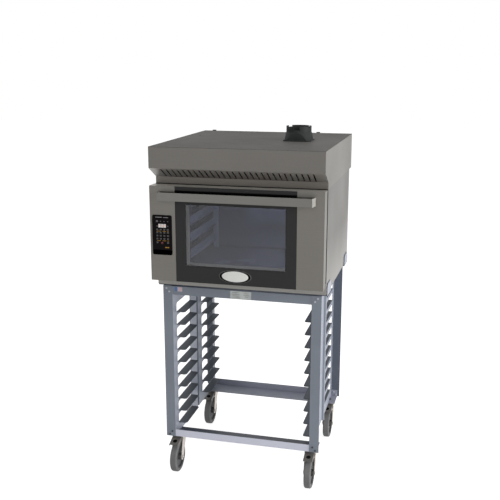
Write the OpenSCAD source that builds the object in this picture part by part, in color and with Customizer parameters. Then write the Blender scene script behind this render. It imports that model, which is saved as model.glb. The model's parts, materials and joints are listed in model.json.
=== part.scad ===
// Electric convection oven with a drop-down door and a ventless hood, on a mobile stand
// with pan slides. Millimetres, +Z up. The origin is on the floor, under the middle of
// the unit's length and width. Inside the modules, y is measured back from the door face.

/* [Oven body] */
// Width of the oven, of its door and of its hood
oven_w = 800; // [780:5:840]
// Depth of the oven body, without the door
body_d = 690; // [670:5:720]
// Height of the oven body
body_h = 481; // [475:1:500]
// Thickness of the casing, door and hood sheet
sheet = 1.5; // [1:0.1:2]
// Gap between the back of the door and the front of the body
door_gap = 22; // [20:1:26]
// Thickness of the front frame round the cavity mouth
front_frame_t = 2; // [1.5:0.5:3]

/* [Cavity] */
// Space on each side, from the outside of the body to the cavity
cavity_side = 48; // [48:1:58]
// Space above the cavity, up to the top of the body
cavity_head = 45; // [40:1:60]
// Space behind the cavity, for the motors and the wiring
service_d = 136; // [128:1:150]
// Height of the cavity floor above the underside of the body
cavity_rise = 86; // [84:1:96]
// Thickness of the thermal insulation round the cavity
insulation_t = 28; // [22:1:28]
// Number of tray levels on the side racks
tray_levels = 4; // [3:1:4]
// Height of the first tray level above the cavity floor
tray_first = 39; // [36:1:46]
// Width of the ledge on one tray rail
tray_rail_w = 16; // [10:1:22]
// Height of a tray rail's side
tray_rail_h = 33; // [20:1:36]
// Space from the top tray rail's side up to the cavity's roof
tray_head = 38; // [32:1:46]
// Space from the cavity's side to the face of the tray rails
rack_gap = 92; // [84:1:100]
// Width of the posts that carry the tray rails
rack_post_w = 28; // [20:1:32]
// Space for the fans, behind their baffle
fan_space = 84; // [78:1:100]

/* [Fans and heating] */
// Distance between the two cavity fans
fan_spacing = 320; // [300:5:330]
// Outer radius of a cavity fan
fan_r = 75; // [65:1:80]
// Length of a cavity fan along its shaft
fan_len = 42; // [36:1:46]
// Number of blades on a fan
blade_count = 20; // [16:1:24]
// Radius of a fan shaft
shaft_r = 6; // [5:0.5:7]
// Running clearance round every shaft and hinge pin
run_gap = 0.05; // [0.03:0.01:0.08]
// Centreline radius of a heating ring
element_ring_r = 95; // [90:1:100]
// Radius of the heating tube
element_r = 4; // [3.5:0.5:5]

/* [Door] */
// Thickness of the door
door_t = 64; // [60:1:68]
// Height of the door's lower edge above the underside of the body
door_rise = 41.7; // [39.7:0.5:46.7]
// Width of the black outer glass
glass_w = 558; // [540:2:570]
// Thickness of the outer and inner glass
glass_t = 5; // [4:0.5:6]
// Width of the clear window
window_w = 458; // [420:2:480]
// Height of the clear window
window_h = 280; // [260:2:290]
// Distance from the top of the door down to the window
window_drop = 80; // [76:1:90]
// Length of the handle where its ends meet the door
handle_len = 720; // [680:5:740]
// Height of the handle's flat bar
handle_h = 37; // [30:1:40]
// How far the handle stands out from the door
handle_reach = 36; // [32:1:42]
// Thickness of the handle's flat bar
handle_t = 4; // [3:0.5:5]
// How far each end of the bar leans in, from the door to the front
handle_lean = 9; // [5:1:14]
// Distance from the top of the door down to the handle
handle_drop = 24; // [18:1:30]
// Width of the control panel
panel_w = 94; // [80:1:94]
// Height of the control panel
panel_h = 185; // [170:1:200]
// Distance from the left edge of the door to the control panel
panel_inset = 11; // [10:1:14]
// Height of the control panel above the bottom of the door
panel_rise = 122; // [110:1:130]
// Radius of the hinge pins
hinge_pin_r = 5; // [4:0.5:6]

/* [Hood] */
// Height of the hood above the oven body
hood_h = 175; // [165:1:190]
// Depth of the hood, from the door face to its back
hood_d = 848; // [840:2:870]
// Height of the hood's upright front
fascia_h = 96; // [85:1:105]
// Height of the skirt between the sloped face and the body
skirt_h = 30; // [25:1:35]
// Number of air slots in the sloped face
slot_count = 28; // [20:2:28]
// Distance from one air slot to the next
slot_pitch = 25.5; // [20:0.5:26]
// Width of an air slot
slot_w = 7; // [4:0.5:8]
// Length of an air slot, up the slope
slot_len = 66; // [40:1:70]
// Distance from the right side of the hood to the outlet
vent_inset = 201; // [180:1:230]
// Place of the outlet behind the door face
vent_y = 434; // [400:2:480]
// Side of the outlet's square foot
vent_foot = 132; // [126:1:140]
// Outer radius of the outlet collar
vent_r = 60; // [55:1:62]
// Height of the outlet above the hood
vent_h = 69; // [66:1:80]

/* [Stand] */
// Space from the side of the oven to the side of the stand
stand_inset = 20; // [16:1:30]
// Width of the side frames' flanges
flange_w = 46; // [42:1:50]
// Depth of the stand
stand_d = 682; // [674:2:690]
// Height of the side frames
stand_h = 773; // [768:1:790]
// Distance of the stand behind the door face
stand_setback = 94; // [90:1:96]
// Thickness of the stand's steel
frame_t = 2; // [1.5:0.5:2.5]
// Number of pan slides in a column
slide_rows = 10; // [6:1:10]
// Height from one pan slide to the next
slide_pitch = 64; // [60:1:64]
// Width of a pan slide, from the web to its edge
slide_w = 42; // [36:1:44]
// Length of a pan slide
slide_len = 200; // [180:2:206]
// Distance from the top of the stand down to the first slide
slide_drop = 144; // [140:1:150]
// Distance from the front of the stand to the front column of slides
slide_front = 53; // [50:1:56]
// Distance from the back of the stand to the rear column of slides
slide_rear = 41; // [38:1:45]
// Radius of the slide's free corners
slide_corner_r = 12; // [8:1:16]
// Radius of the upright bead pressed in each web
bead_r = 12; // [10:1:16]
// Distance of the bead behind the front of the stand
bead_y = 368; // [350:2:380]
// Height of the top rails
top_rail_h = 41; // [38:1:43]
// Depth of the top rails' flat flange
top_rail_d = 38; // [30:1:42]
// Height of the bottom rails' upright flange
bottom_rail_h = 36; // [34:1:40]
// Depth of the bottom rails' plate
bottom_rail_d = 105; // [102:1:112]
// Distance from a rail's end to the edge of the side frame
rail_end = 11; // [8:1:14]
// Radius of the stand's bolts
bolt_r = 2.5; // [2:0.5:3]
// Length of an oven retainer
retainer_len = 105; // [95:1:125]
// Height of an oven retainer above the stand
retainer_h = 56; // [48:1:70]
// Height of the oven's feet
foot_h = 9.3; // [8:0.1:12]

/* [Casters] */
// Height of a caster, from the floor to the bottom rail
caster_h = 192; // [190:1:200]
// Diameter of a caster wheel
wheel_d = 150; // [144:1:152]
// Width of a caster tyre
tyre_w = 32; // [28:1:34]
// Thickness of the tyre's rubber
tyre_t = 17; // [14:1:20]
// Distance from the swivel axis to the wheel axle
caster_trail = 39; // [34:1:42]
// Distance of the swivel axis from the front and the back of the stand
stem_inset = 60; // [58:1:64]
// Thickness of the fork's legs
fork_t = 3.5; // [2.5:0.5:4]
// Radius of a wheel axle
axle_r = 6; // [5:0.5:7]
// Length of the brake pedal
pedal_len = 60; // [54:1:70]
// Drop of the brake pedal from its back edge to its front edge
pedal_fall = 21; // [18:1:26]

/* [Hidden] */

// Round surfaces and a small overlap for cuts
$fn = 64;
cut = 1;

// Front face of the door in the part's own frame
face_y = -(hood_d - handle_reach) / 2;

// Levels, from the floor up
stand_z = caster_h;
stand_top = stand_z + stand_h;
body_z = stand_top + foot_h;
body_top = body_z + body_h;
hood_top = body_top + hood_h;

// Stand
stand_w = oven_w - 2 * stand_inset;
web_x = stand_w / 2 - flange_w;
stand_y = stand_setback;
stand_back = stand_y + stand_d;
rail_len = stand_w - 2 * rail_end;
slide_y_front = stand_y + slide_front;
slide_y_rear = stand_back - slide_rear - slide_len;
slide_top = stand_top - slide_drop;
slide_window_h = slide_w + frame_t;
notch_gap = 2;

// Corner bolts: [from the web, from the rail's outer edge]
top_bolts = [[16, 28], [29, 12]];
bottom_bolts = [[16, 26], [29, 10]];
bolt_gap = 0.25;
bolt_head_r = 1.8 * bolt_r;
bolt_head_h = 3;
nut_h = 5;
retainer_bolt_x = web_x + flange_w * 0.72;
retainer_bolt_span = 46;
retainer_bolt_inset = 20;
retainer_margin = 9;
retainer_gap = 2;
retainer_corner_r = 22;

// Oven body
body_y = door_t + door_gap;
body_back = body_y + body_d;
shell_y = body_y + front_frame_t;
cavity_w = oven_w - 2 * cavity_side;
cavity_h = body_h - cavity_rise - cavity_head;
cavity_z = body_z + cavity_rise;
cavity_top = cavity_z + cavity_h;
tray_pitch = (cavity_h - tray_first - tray_rail_h - tray_head) / (tray_levels - 1);
cavity_y = shell_y;
cavity_back = body_back - service_d;
baffle_y = cavity_back - fan_space;
fan_z = cavity_z + cavity_h / 2;
fan_y = baffle_y + 20;
insulation_back = cavity_back + sheet + insulation_t;
motor_flange_t = 4;
motor_len = 74;
motor_side = 100;
motor_r = 42;
blade_depth = 20;
duct_r = 22;
duct_y = baffle_y - 60;
duct_wall = 2;
fitting_z = body_z + 36;
water_x = oven_w / 2 - 100;
water_r = 13.2;
gland_x = -water_x;
board_w = 240;
board_d = 160;
board_side = 100;
board_front = 260;
transformer_at = [14, 20];
transformer_w = 50;
transformer_d = 42;
transformer_h = 23;
gland_r = 13;
gland_bore_r = 7;
gasket_w = 14;
gasket_inset = 4;
gasket_clear = 0.4;

// Door
door_top = body_top - 0.3;
door_z = body_z + door_rise;
window_top = door_top - window_drop;
window_z = window_top - window_h;
hinge_y = door_t - 6;
hinge_z = door_z + 16;
hinge_x = oven_w / 2 - 26;
hinge_arm_t = 8;
hinge_plate_t = 6;
hinge_knuckle_r = 12;
hinge_side_gap = 3;
hinge_notch_w = hinge_arm_t + 2 * (hinge_side_gap + hinge_plate_t + 5);
hinge_foot_drop = 30;
hinge_foot_rise = 8;
hinge_foot_t = 4;
hinge_plate_rise = 64;

// Hood
fascia_z = hood_top - fascia_h;
skirt_y = body_y + 3.5;
slope_z = body_top + skirt_h;
slope_drop = fascia_z - slope_z;
slope_angle = atan(slope_drop / skirt_y);
vent_x = oven_w / 2 - vent_inset;
vent_ring_h = 20;
vent_rise_h = 7;
vent_wall = 4;
vent_lip = 6;
vent_waist = 118;
hood_fan_r = 85;
hood_fan_h = 50;
hood_fan_rise = 54;
hood_fan_z = body_top + hood_fan_rise;
hood_motor_h = 46;
hood_motor_r = 45;
hood_tab_w = 20;
hood_tab_h = 5;
hood_tab_insets = [55, 177];
filter_t = 24;
filter_gap = 24;
filter_inset = 40;
filter_border = 14;

// Casters
axle_z = wheel_d / 2;
axle_head_r = axle_r + 2.5;
axle_head_t = 2.5;
stem_nut_r = 10.5;
stem_nut_h = 6;
stem_top = stand_z + frame_t + stem_nut_h + 2;
fork_gap = 7;
fork_inside = tyre_w / 2 + fork_gap;
crown_gap = 0.3;
raceway_h = 6;
raceway_r = 30;
crown_h = 9.7;
crown_r = 34;
crown_top = caster_h - raceway_h - crown_gap;
crown_z = crown_top - crown_h;
kingpin_r = 8;
pedal_pin_r = 3;
pedal_pin_y = -20;
pedal_pin_z = crown_z - 13;
pedal_t = 2;
pedal_half = fork_inside - 0.6;
pedal_back = -crown_r - 2;
pedal_top = crown_top - 2;
pedal_ear_r = 7;
pedal_hole_r = 11;
pedal_hole_inset = 25;
caster_x = web_x;
caster_front_y = stand_y + stem_inset;
caster_rear_y = stand_back - stem_inset;

stainless = [0.66, 0.65, 0.63];
stand_steel = [0.46, 0.49, 0.53];
zinc = [0.80, 0.79, 0.76];
black = [0.10, 0.10, 0.10];

// Moves a shape from the door-face frame to the part's frame
module placed() {
    translate([0, face_y, 0]) children();
}

// Rectangle centred on the origin, with round corners
module round_rect(w, h, r) {
    square([w - 2 * r, h], center = true);
    square([w, h - 2 * r], center = true);
    for (sx = [-1, 1], sy = [-1, 1])
        translate([sx * (w / 2 - r), sy * (h / 2 - r)]) circle(r);
}

// Box between two corners
module block(a, b) {
    translate(a) cube(b - a);
}

// Profile drawn in the YZ plane, extruded along X from x0 to x1
module side_profile(x0, x1) {
    translate([x0, 0, 0]) rotate([90, 0, 90]) linear_extrude(x1 - x0) children();
}

// Cylinder along Y from y0 to y1
module rod_y(x, z, y0, y1, r) {
    translate([x, y0, z]) rotate([-90, 0, 0]) cylinder(h = y1 - y0, r = r);
}

// Cylinder along X from x0 to x1
module rod_x(y, z, x0, x1, r) {
    translate([x0, y, z]) rotate([0, 90, 0]) cylinder(h = x1 - x0, r = r);
}

// Cylinder along Z from z0 to z1
module rod_z(x, y, z0, z1, r) {
    translate([x, y, z0]) cylinder(h = z1 - z0, r = r);
}

// Side frames of the stand

// One window in the web, with the slide's free corners left round
module slide_window(y, z) {
    translate([web_x - cut, y + slide_len / 2, z + slide_window_h / 2])
        rotate([90, 0, 90])
            linear_extrude(frame_t + 2 * cut)
                difference() {
                    square([slide_len, slide_window_h], center = true);
                    for (s = [-1, 1])
                        translate([s * slide_len / 2, slide_window_h / 2])
                            difference() {
                                square(2 * slide_corner_r, center = true);
                                translate([-s * slide_corner_r, -slide_corner_r])
                                    circle(slide_corner_r);
                            }
                }
}

// One pan slide, seated on the web below its window
module slide(y, z) {
    translate([web_x - slide_w, y, z - frame_t])
        linear_extrude(frame_t)
            union() {
                translate([slide_corner_r, 0])
                    square([slide_w - slide_corner_r, slide_len]);
                translate([0, slide_corner_r])
                    square([slide_w, slide_len - 2 * slide_corner_r]);
                for (sy = [slide_corner_r, slide_len - slide_corner_r])
                    translate([slide_corner_r, sy]) circle(slide_corner_r);
            }
}

module frame_holes() {
    for (b = top_bolts)
        rod_y(web_x + b[0], stand_top - b[1], stand_y - cut, stand_back + cut, bolt_r + bolt_gap);
    for (b = bottom_bolts)
        rod_y(web_x + b[0], stand_z + b[1], stand_y - cut, stand_back + cut, bolt_r + bolt_gap);
    for (y = retainer_bolt_ys())
        rod_z(retainer_bolt_x, y, stand_top - frame_t - cut, stand_top + cut, bolt_r + bolt_gap);
}

function retainer_starts() = [stand_y + retainer_margin,
    stand_back - retainer_margin - retainer_len];
function retainer_bolt_ys() = [for (d = [0, retainer_bolt_span], rear = [0, 1])
    rear ? stand_back - retainer_margin - retainer_len + retainer_bolt_inset + d
        : stand_y + retainer_margin + retainer_len - retainer_bolt_inset - d];

// Notch in the web, from the front flange back to a depth
module web_notch(depth, z0, z1) {
    block([web_x - cut, stand_y + frame_t, z0],
        [web_x + frame_t + cut, stand_y + frame_t + depth, z1]);
}

// Notches that let the front rails and the caster's nut pass through the web
module rail_notches() {
    flange_d = frame_t + notch_gap;
    bottom_z = stand_z - cut;
    top_z = stand_top - frame_t;
    nut_side = stem_nut_r + notch_gap;
    web_notch(flange_d, bottom_z, stand_z + bottom_rail_h + notch_gap);
    web_notch(bottom_rail_d + notch_gap, bottom_z, stand_z + frame_t + notch_gap);
    web_notch(flange_d, top_z - top_rail_h - notch_gap, top_z);
    web_notch(top_rail_d + notch_gap, top_z - frame_t - notch_gap, top_z);
    block([web_x - cut, caster_front_y - nut_side, bottom_z],
        [web_x + frame_t + cut, caster_front_y + nut_side, stem_top + notch_gap]);
}

module frame_right() {
    bead = [web_x + frame_t / 2, stand_y + bead_y, stand_z];
    difference() {
        union() {
            block([web_x, stand_y, stand_z], [web_x + frame_t, stand_back, stand_top]);
            block([web_x, stand_y, stand_z], [web_x + flange_w, stand_y + frame_t, stand_top]);
            block([web_x, stand_back - frame_t, stand_z],
                [web_x + flange_w, stand_back, stand_top]);
            block([web_x, stand_y, stand_top - frame_t],
                [web_x + flange_w, stand_back, stand_top]);
            intersection() {
                translate(bead) cylinder(h = stand_h - frame_t, r = bead_r);
                block([web_x, stand_y, stand_z], [web_x + flange_w, stand_back, stand_top]);
            }
        }
        translate(bead - [0, 0, cut])
            cylinder(h = stand_h - frame_t + cut, r = bead_r - frame_t);
        for (row = [0 : slide_rows - 1], y = [slide_y_front, slide_y_rear])
            slide_window(y, slide_top - row * slide_pitch);
        rail_notches();
        at_rear() rail_notches();
        frame_holes();
    }
}

module side_frame_right() {
    color(stand_steel) placed() frame_right();
}

module side_frame_left() {
    color(stand_steel) placed() mirror([1, 0, 0]) frame_right();
}

module slides_right() {
    for (row = [0 : slide_rows - 1], y = [slide_y_front, slide_y_rear])
        slide(y, slide_top - row * slide_pitch);
}

module pan_slides_right() {
    color(stand_steel) placed() slides_right();
}

module pan_slides_left() {
    color(stand_steel) placed() mirror([1, 0, 0]) slides_right();
}

// Rails of the stand

module rail_bolt_holes(bolts, edge_z, sign) {
    for (b = bolts, s = [-1, 1])
        rod_y(s * (web_x + b[0]), edge_z + sign * b[1], stand_y - cut,
            stand_y + 2 * frame_t + cut, bolt_r + bolt_gap);
}

module top_rail() {
    y0 = stand_y + frame_t;
    z1 = stand_top - frame_t;
    difference() {
        union() {
            block([-rail_len / 2, y0, z1 - top_rail_h], [rail_len / 2, y0 + frame_t, z1]);
            block([-rail_len / 2, y0, z1 - frame_t], [rail_len / 2, y0 + top_rail_d, z1]);
        }
        rail_bolt_holes(top_bolts, stand_top, -1);
    }
}

module bottom_rail() {
    y0 = stand_y + frame_t;
    difference() {
        union() {
            block([-rail_len / 2, y0, stand_z],
                [rail_len / 2, y0 + frame_t, stand_z + bottom_rail_h]);
            block([-rail_len / 2, y0, stand_z],
                [rail_len / 2, y0 + bottom_rail_d, stand_z + frame_t]);
        }
        rail_bolt_holes(bottom_bolts, stand_z, 1);
        for (s = [-1, 1])
            rod_z(s * caster_x, caster_front_y, stand_z - cut, stand_z + frame_t + cut,
                axle_r + bolt_gap);
    }
}

// Turns a front rail round into the rear one
module at_rear() {
    translate([0, stand_y + stand_back, 0]) mirror([0, 1, 0]) children();
}

module top_rails() {
    color(stand_steel) placed() {
        top_rail();
        at_rear() top_rail();
    }
}

module bottom_rails() {
    color(stand_steel) placed() {
        bottom_rail();
        at_rear() bottom_rail();
    }
}

// Upright tabs beside the oven, bolted to the side frames
module oven_retainers() {
    tab_x = oven_w / 2 + retainer_gap;
    foot_x = web_x + flange_w / 2;
    color(stand_steel) placed()
        for (s = [0, 1], y = retainer_starts())
            mirror([s, 0, 0]) {
                difference() {
                    block([foot_x, y, stand_top],
                        [tab_x + frame_t, y + retainer_len, stand_top + frame_t]);
                    for (by = retainer_bolt_ys())
                        rod_z(retainer_bolt_x, by, stand_top - cut, stand_top + frame_t + cut,
                            bolt_r + bolt_gap);
                }
                translate([tab_x, y + retainer_len / 2, stand_top + retainer_h / 2])
                    rotate([90, 0, 90])
                        linear_extrude(frame_t) {
                            round_rect(retainer_len, retainer_h, retainer_corner_r);
                            translate([-retainer_len / 2, -retainer_h / 2])
                                square([retainer_len, retainer_h / 2]);
                        }
            }
}

// Bolt with its nut, head at the origin, shank along +Y through a grip of sheet
module bolt(grip) {
    rotate([-90, 0, 0]) {
        translate([0, 0, -bolt_head_h]) cylinder(h = bolt_head_h, r = bolt_head_r);
        translate([0, 0, -cut]) cylinder(h = grip + nut_h + cut, r = bolt_r);
        translate([0, 0, grip]) cylinder(h = nut_h, r = bolt_head_r, $fn = 6);
    }
}

module stand_bolts() {
    color(zinc) placed() {
        for (rear = [0, 1], s = [-1, 1])
            translate([0, rear * (stand_y + stand_back), 0]) mirror([0, rear, 0]) {
                for (b = top_bolts)
                    translate([s * (web_x + b[0]), stand_y, stand_top - b[1]])
                        bolt(2 * frame_t);
                for (b = bottom_bolts)
                    translate([s * (web_x + b[0]), stand_y, stand_z + b[1]])
                        bolt(2 * frame_t);
            }
        for (s = [-1, 1], y = retainer_bolt_ys())
            translate([s * retainer_bolt_x, y, stand_top + frame_t])
                rotate([-90, 0, 0]) bolt(2 * frame_t);
    }
}

// Casters

// Raceway, threaded stem with its nut, and the riveted kingpin
module caster_mount() {
    rivet_z = crown_z - crown_gap - 4;
    rod_z(0, 0, stand_z - cut, stem_top, axle_r);
    translate([0, 0, stand_z + frame_t]) cylinder(h = stem_nut_h, r = stem_nut_r, $fn = 6);
    rod_z(0, 0, stand_z - raceway_h, stand_z, raceway_r);
    rod_z(0, 0, rivet_z, stand_z - raceway_h + cut, kingpin_r);
    rod_z(0, 0, rivet_z, rivet_z + 4, kingpin_r + 4);
}

module caster_mounts() {
    color(zinc) placed()
        for (x = [-caster_x, caster_x], y = [caster_front_y, caster_rear_y])
            translate([x, y, 0]) caster_mount();
}

module fork_leg() {
    side_profile(fork_inside, fork_inside + fork_t)
        difference() {
            union() {
                polygon([[31, crown_top], [-27, crown_top],
                    [-caster_trail - 15.5, axle_z + 4], [-caster_trail + 13, axle_z - 9]]);
                translate([-caster_trail, axle_z]) circle(16);
            }
            translate([-caster_trail, axle_z]) circle(axle_r + bolt_gap);
        }
}

// Swivelling fork with its axle bolt and its pedal pin
module caster_fork() {
    half = fork_inside + fork_t;
    difference() {
        union() {
            rod_z(0, 0, crown_z, crown_top, crown_r);
            for (s = [0, 1])
                mirror([s, 0, 0]) fork_leg();
        }
        rod_z(0, 0, crown_z - cut, crown_top + cut, kingpin_r + run_gap);
    }
    rod_x(pedal_pin_y, pedal_pin_z, -half - 1, half + 1, pedal_pin_r);
    rod_x(-caster_trail, axle_z, -half - 1, half + 1, axle_r);
    for (x = [-half - axle_head_t, half])
        rod_x(-caster_trail, axle_z, x, x + axle_head_t, axle_head_r);
}

// Wheel core: rim, dished disc and boss, on the axle
module caster_hub() {
    rim_r = wheel_d / 2 - tyre_t;
    rim_t = 5;
    dish = 6;
    boss_r = 17;
    translate([0, -caster_trail, axle_z]) rotate([0, 90, 0])
        difference() {
            union() {
                difference() {
                    cylinder(h = tyre_w - 4, r = rim_r, center = true);
                    cylinder(h = tyre_w, r = rim_r - rim_t, center = true);
                }
                cylinder(h = tyre_w - 2 * dish - 4, r = rim_r - cut, center = true);
                cylinder(h = 2 * fork_inside - 1, r = boss_r, center = true);
            }
            cylinder(h = 3 * tyre_w, r = axle_r + run_gap, center = true);
        }
}

module caster_tyre() {
    edge_r = 6;
    rim_r = wheel_d / 2 - tyre_t;
    translate([0, -caster_trail, axle_z]) rotate([0, 90, 0])
        rotate_extrude($fn = 96)
            union() {
                translate([rim_r, -tyre_w / 2]) square([tyre_t - edge_r, tyre_w]);
                translate([rim_r, edge_r - tyre_w / 2]) square([tyre_t, tyre_w - 2 * edge_r]);
                for (s = [-1, 1])
                    translate([wheel_d / 2 - edge_r, s * (tyre_w / 2 - edge_r)])
                        circle(edge_r);
            }
}

// Pressed pedal over the wheel, with a hole near its front edge
module brake_pedal() {
    top = pedal_top;
    front = pedal_back - pedal_len;
    low = top - pedal_fall;
    difference() {
        union() {
            side_profile(-pedal_half, pedal_half)
                polygon([[pedal_back, top], [front, low], [front, low - pedal_t],
                    [pedal_back, top - pedal_t]]);
            for (s = [0, 1])
                mirror([s, 0, 0])
                    side_profile(pedal_half - pedal_t, pedal_half) {
                        polygon([[pedal_back, top], [front, low], [front, low - 7],
                            [pedal_back, pedal_pin_z - 5], [pedal_pin_y, pedal_pin_z - 6],
                            [pedal_pin_y, pedal_pin_z + 6]]);
                        translate([pedal_pin_y, pedal_pin_z]) circle(pedal_ear_r);
                    }
        }
        rod_x(pedal_pin_y, pedal_pin_z, -pedal_half - cut, pedal_half + cut,
            pedal_pin_r + run_gap);
        rod_z(0, front + pedal_hole_inset, low - 20, top + 10, pedal_hole_r);
    }
}

// Puts a caster's moving piece at one of the four corners
module at_caster(sx, rear) {
    placed() translate([sx * caster_x, rear ? caster_rear_y : caster_front_y, 0]) children();
}

module caster_fork_fl() { color(zinc) at_caster(-1, false) caster_fork(); }
module caster_fork_fr() { color(zinc) at_caster(1, false) caster_fork(); }
module caster_fork_rl() { color(zinc) at_caster(-1, true) caster_fork(); }
module caster_fork_rr() { color(zinc) at_caster(1, true) caster_fork(); }
module caster_hub_fl() { color("dimgray") at_caster(-1, false) caster_hub(); }
module caster_hub_fr() { color("dimgray") at_caster(1, false) caster_hub(); }
module caster_hub_rl() { color("dimgray") at_caster(-1, true) caster_hub(); }
module caster_hub_rr() { color("dimgray") at_caster(1, true) caster_hub(); }
module caster_tyre_fl() { color("gray") at_caster(-1, false) caster_tyre(); }
module caster_tyre_fr() { color("gray") at_caster(1, false) caster_tyre(); }
module caster_tyre_rl() { color("gray") at_caster(-1, true) caster_tyre(); }
module caster_tyre_rr() { color("gray") at_caster(1, true) caster_tyre(); }
module brake_pedal_fl() { color("dimgray") at_caster(-1, false) brake_pedal(); }
module brake_pedal_fr() { color("dimgray") at_caster(1, false) brake_pedal(); }
module brake_pedal_rl() { color("dimgray") at_caster(-1, true) brake_pedal(); }
module brake_pedal_rr() { color("dimgray") at_caster(1, true) brake_pedal(); }

// Oven body

module oven_feet() {
    x = web_x + flange_w / 2;
    inset = retainer_len + 55;
    color("dimgray") placed()
        for (s = [-1, 1], y = [stand_y + inset, stand_back - inset])
            rod_z(s * x, y, stand_top, body_z, 18);
}

module base_pan() {
    half = oven_w / 2 - sheet;
    color("silver") placed()
        block([-half, shell_y, body_z], [half, body_back - sheet, body_z + sheet]);
}

// Side panel with return flanges at its front and its back
module casing_side() {
    x1 = oven_w / 2;
    flange = 16;
    block([x1 - sheet, shell_y, body_z], [x1, body_back, body_top]);
    block([x1 - flange, shell_y, body_z + sheet], [x1, shell_y + sheet, body_top - sheet]);
    block([x1 - flange, body_back - 2 * sheet, body_z + sheet],
        [x1, body_back - sheet, body_top - sheet]);
}

module casing_right() {
    color(stainless) placed() casing_side();
}

module casing_left() {
    color(stainless) placed() mirror([1, 0, 0]) casing_side();
}

module casing_top() {
    half = oven_w / 2 - sheet;
    color(stainless) placed()
        difference() {
            block([-half, shell_y, body_top - sheet], [half, body_back - sheet, body_top]);
            rod_z(0, duct_y, body_top - sheet - cut, body_top + cut, duct_r + cut);
        }
}

module casing_back() {
    half = oven_w / 2 - sheet;
    louvre_w = 120;
    louvre_count = 6;
    color(stainless) placed()
        difference() {
            block([-half, body_back - sheet, body_z], [half, body_back, body_top]);
            rod_y(water_x, fitting_z, body_back - sheet - cut, body_back + cut, water_r + 0.4);
            rod_y(gland_x, fitting_z, body_back - sheet - cut, body_back + cut, gland_r + 0.4);
            for (s = [-1, 1], i = [0 : louvre_count - 1])
                translate([s * fan_spacing / 2, body_back, fan_z + 60 + 14 * i])
                    rotate([90, 0, 0])
                        linear_extrude(4 * sheet, center = true)
                            round_rect(louvre_w, 5, 2.4);
        }
}

// Front of the body: the mouth's frame, with the strip that shows below the door
module front_frame() {
    half = oven_w / 2;
    color(stainless) placed()
        difference() {
            block([-half, body_y, body_z], [half, shell_y, body_top]);
            block([-cavity_w / 2, body_y - cut, cavity_z],
                [cavity_w / 2, shell_y + cut, cavity_top]);
        }
}

module cavity_liner() {
    o = sheet;
    half = cavity_w / 2;
    lip = 12;
    color("lightgray") placed()
        difference() {
            union() {
                block([-half - o, cavity_y, cavity_z - o],
                    [half + o, cavity_back + o, cavity_top + o]);
                block([-half - lip, cavity_y, cavity_z - lip],
                    [half + lip, cavity_y + o, cavity_top + lip]);
            }
            block([-half, cavity_y - cut, cavity_z], [half, cavity_back, cavity_top]);
            rod_z(0, duct_y, cavity_top - cut, cavity_top + 2 * o, duct_r - duct_wall);
            for (s = [-1, 1])
                rod_y(s * fan_spacing / 2, fan_z, cavity_back - cut, cavity_back + 2 * o,
                    shaft_r + 4);
        }
}

module insulation() {
    half = cavity_w / 2 + sheet;
    t = insulation_t;
    y0 = cavity_y + sheet;
    color("khaki") placed()
        difference() {
            block([-half - t, y0, cavity_z - sheet - t],
                [half + t, insulation_back, cavity_top + sheet + t]);
            block([-half, y0 - cut, cavity_z - sheet],
                [half, cavity_back + sheet, cavity_top + sheet]);
            rod_z(0, duct_y, cavity_top, cavity_top + 2 * t, duct_r + 9);
            for (s = [-1, 1])
                rod_y(s * fan_spacing / 2, fan_z, cavity_back, insulation_back + cut,
                    shaft_r + 4);
        }
}

// Seal on the front frame, round the cavity mouth
module door_gasket() {
    w = cavity_w + 2 * gasket_inset;
    h = cavity_h + 2 * gasket_inset;
    y0 = door_t + gasket_clear;
    color(black) placed()
        translate([0, body_y, fan_z]) rotate([90, 0, 0])
            linear_extrude(body_y - y0)
                difference() {
                    round_rect(w + 2 * gasket_w, h + 2 * gasket_w, 20);
                    round_rect(w, h, 10);
                }
}

// Right side rack: four L-shaped rails between a front and a rear post
module rack() {
    post_t = 2;
    face_x = cavity_w / 2 - rack_gap;
    rail_y0 = cavity_y + 14;
    rear_y = baffle_y - 21;
    front_y = rail_y0 + 4;
    block([face_x, front_y, cavity_z], [face_x + rack_post_w, front_y + post_t, cavity_top]);
    block([face_x + sheet - rack_post_w, rear_y, cavity_z],
        [face_x + sheet, rear_y + post_t, cavity_top]);
    for (i = [0 : tray_levels - 1]) {
        z = cavity_z + tray_first + i * tray_pitch;
        block([face_x, rail_y0, z], [face_x + sheet, rear_y + post_t, z + tray_rail_h]);
        block([face_x - tray_rail_w, rail_y0, z], [face_x + sheet, rear_y + post_t, z + sheet]);
    }
}

module tray_racks() {
    color("silver") placed()
        for (s = [0, 1])
            mirror([s, 0, 0]) rack();
}

// Plate in front of the fans, with an intake grille for each fan
module fan_baffle() {
    half = cavity_w / 2 - 8;
    z0 = cavity_z + 4;
    z1 = cavity_top - 4;
    grille_r = 54;
    slot_step = 12;
    slot_h = 3.5;
    color("lightgray") placed() {
        difference() {
            block([-half, baffle_y, z0], [half, baffle_y + sheet, z1]);
            for (s = [-1, 1], i = [-4 : 4]) {
                half_slot = sqrt(pow(grille_r, 2) - pow(i * slot_step, 2));
                x = s * fan_spacing / 2;
                z = fan_z + i * slot_step;
                block([x - half_slot, baffle_y - cut, z - slot_h / 2],
                    [x + half_slot, baffle_y + sheet + cut, z + slot_h / 2]);
            }
        }
        for (x = [-half + 20, half - 20], z = [z0 + 20, z1 - 20])
            rod_y(x, z, baffle_y + sheet - 0.5, cavity_back, 5);
    }
}

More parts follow.
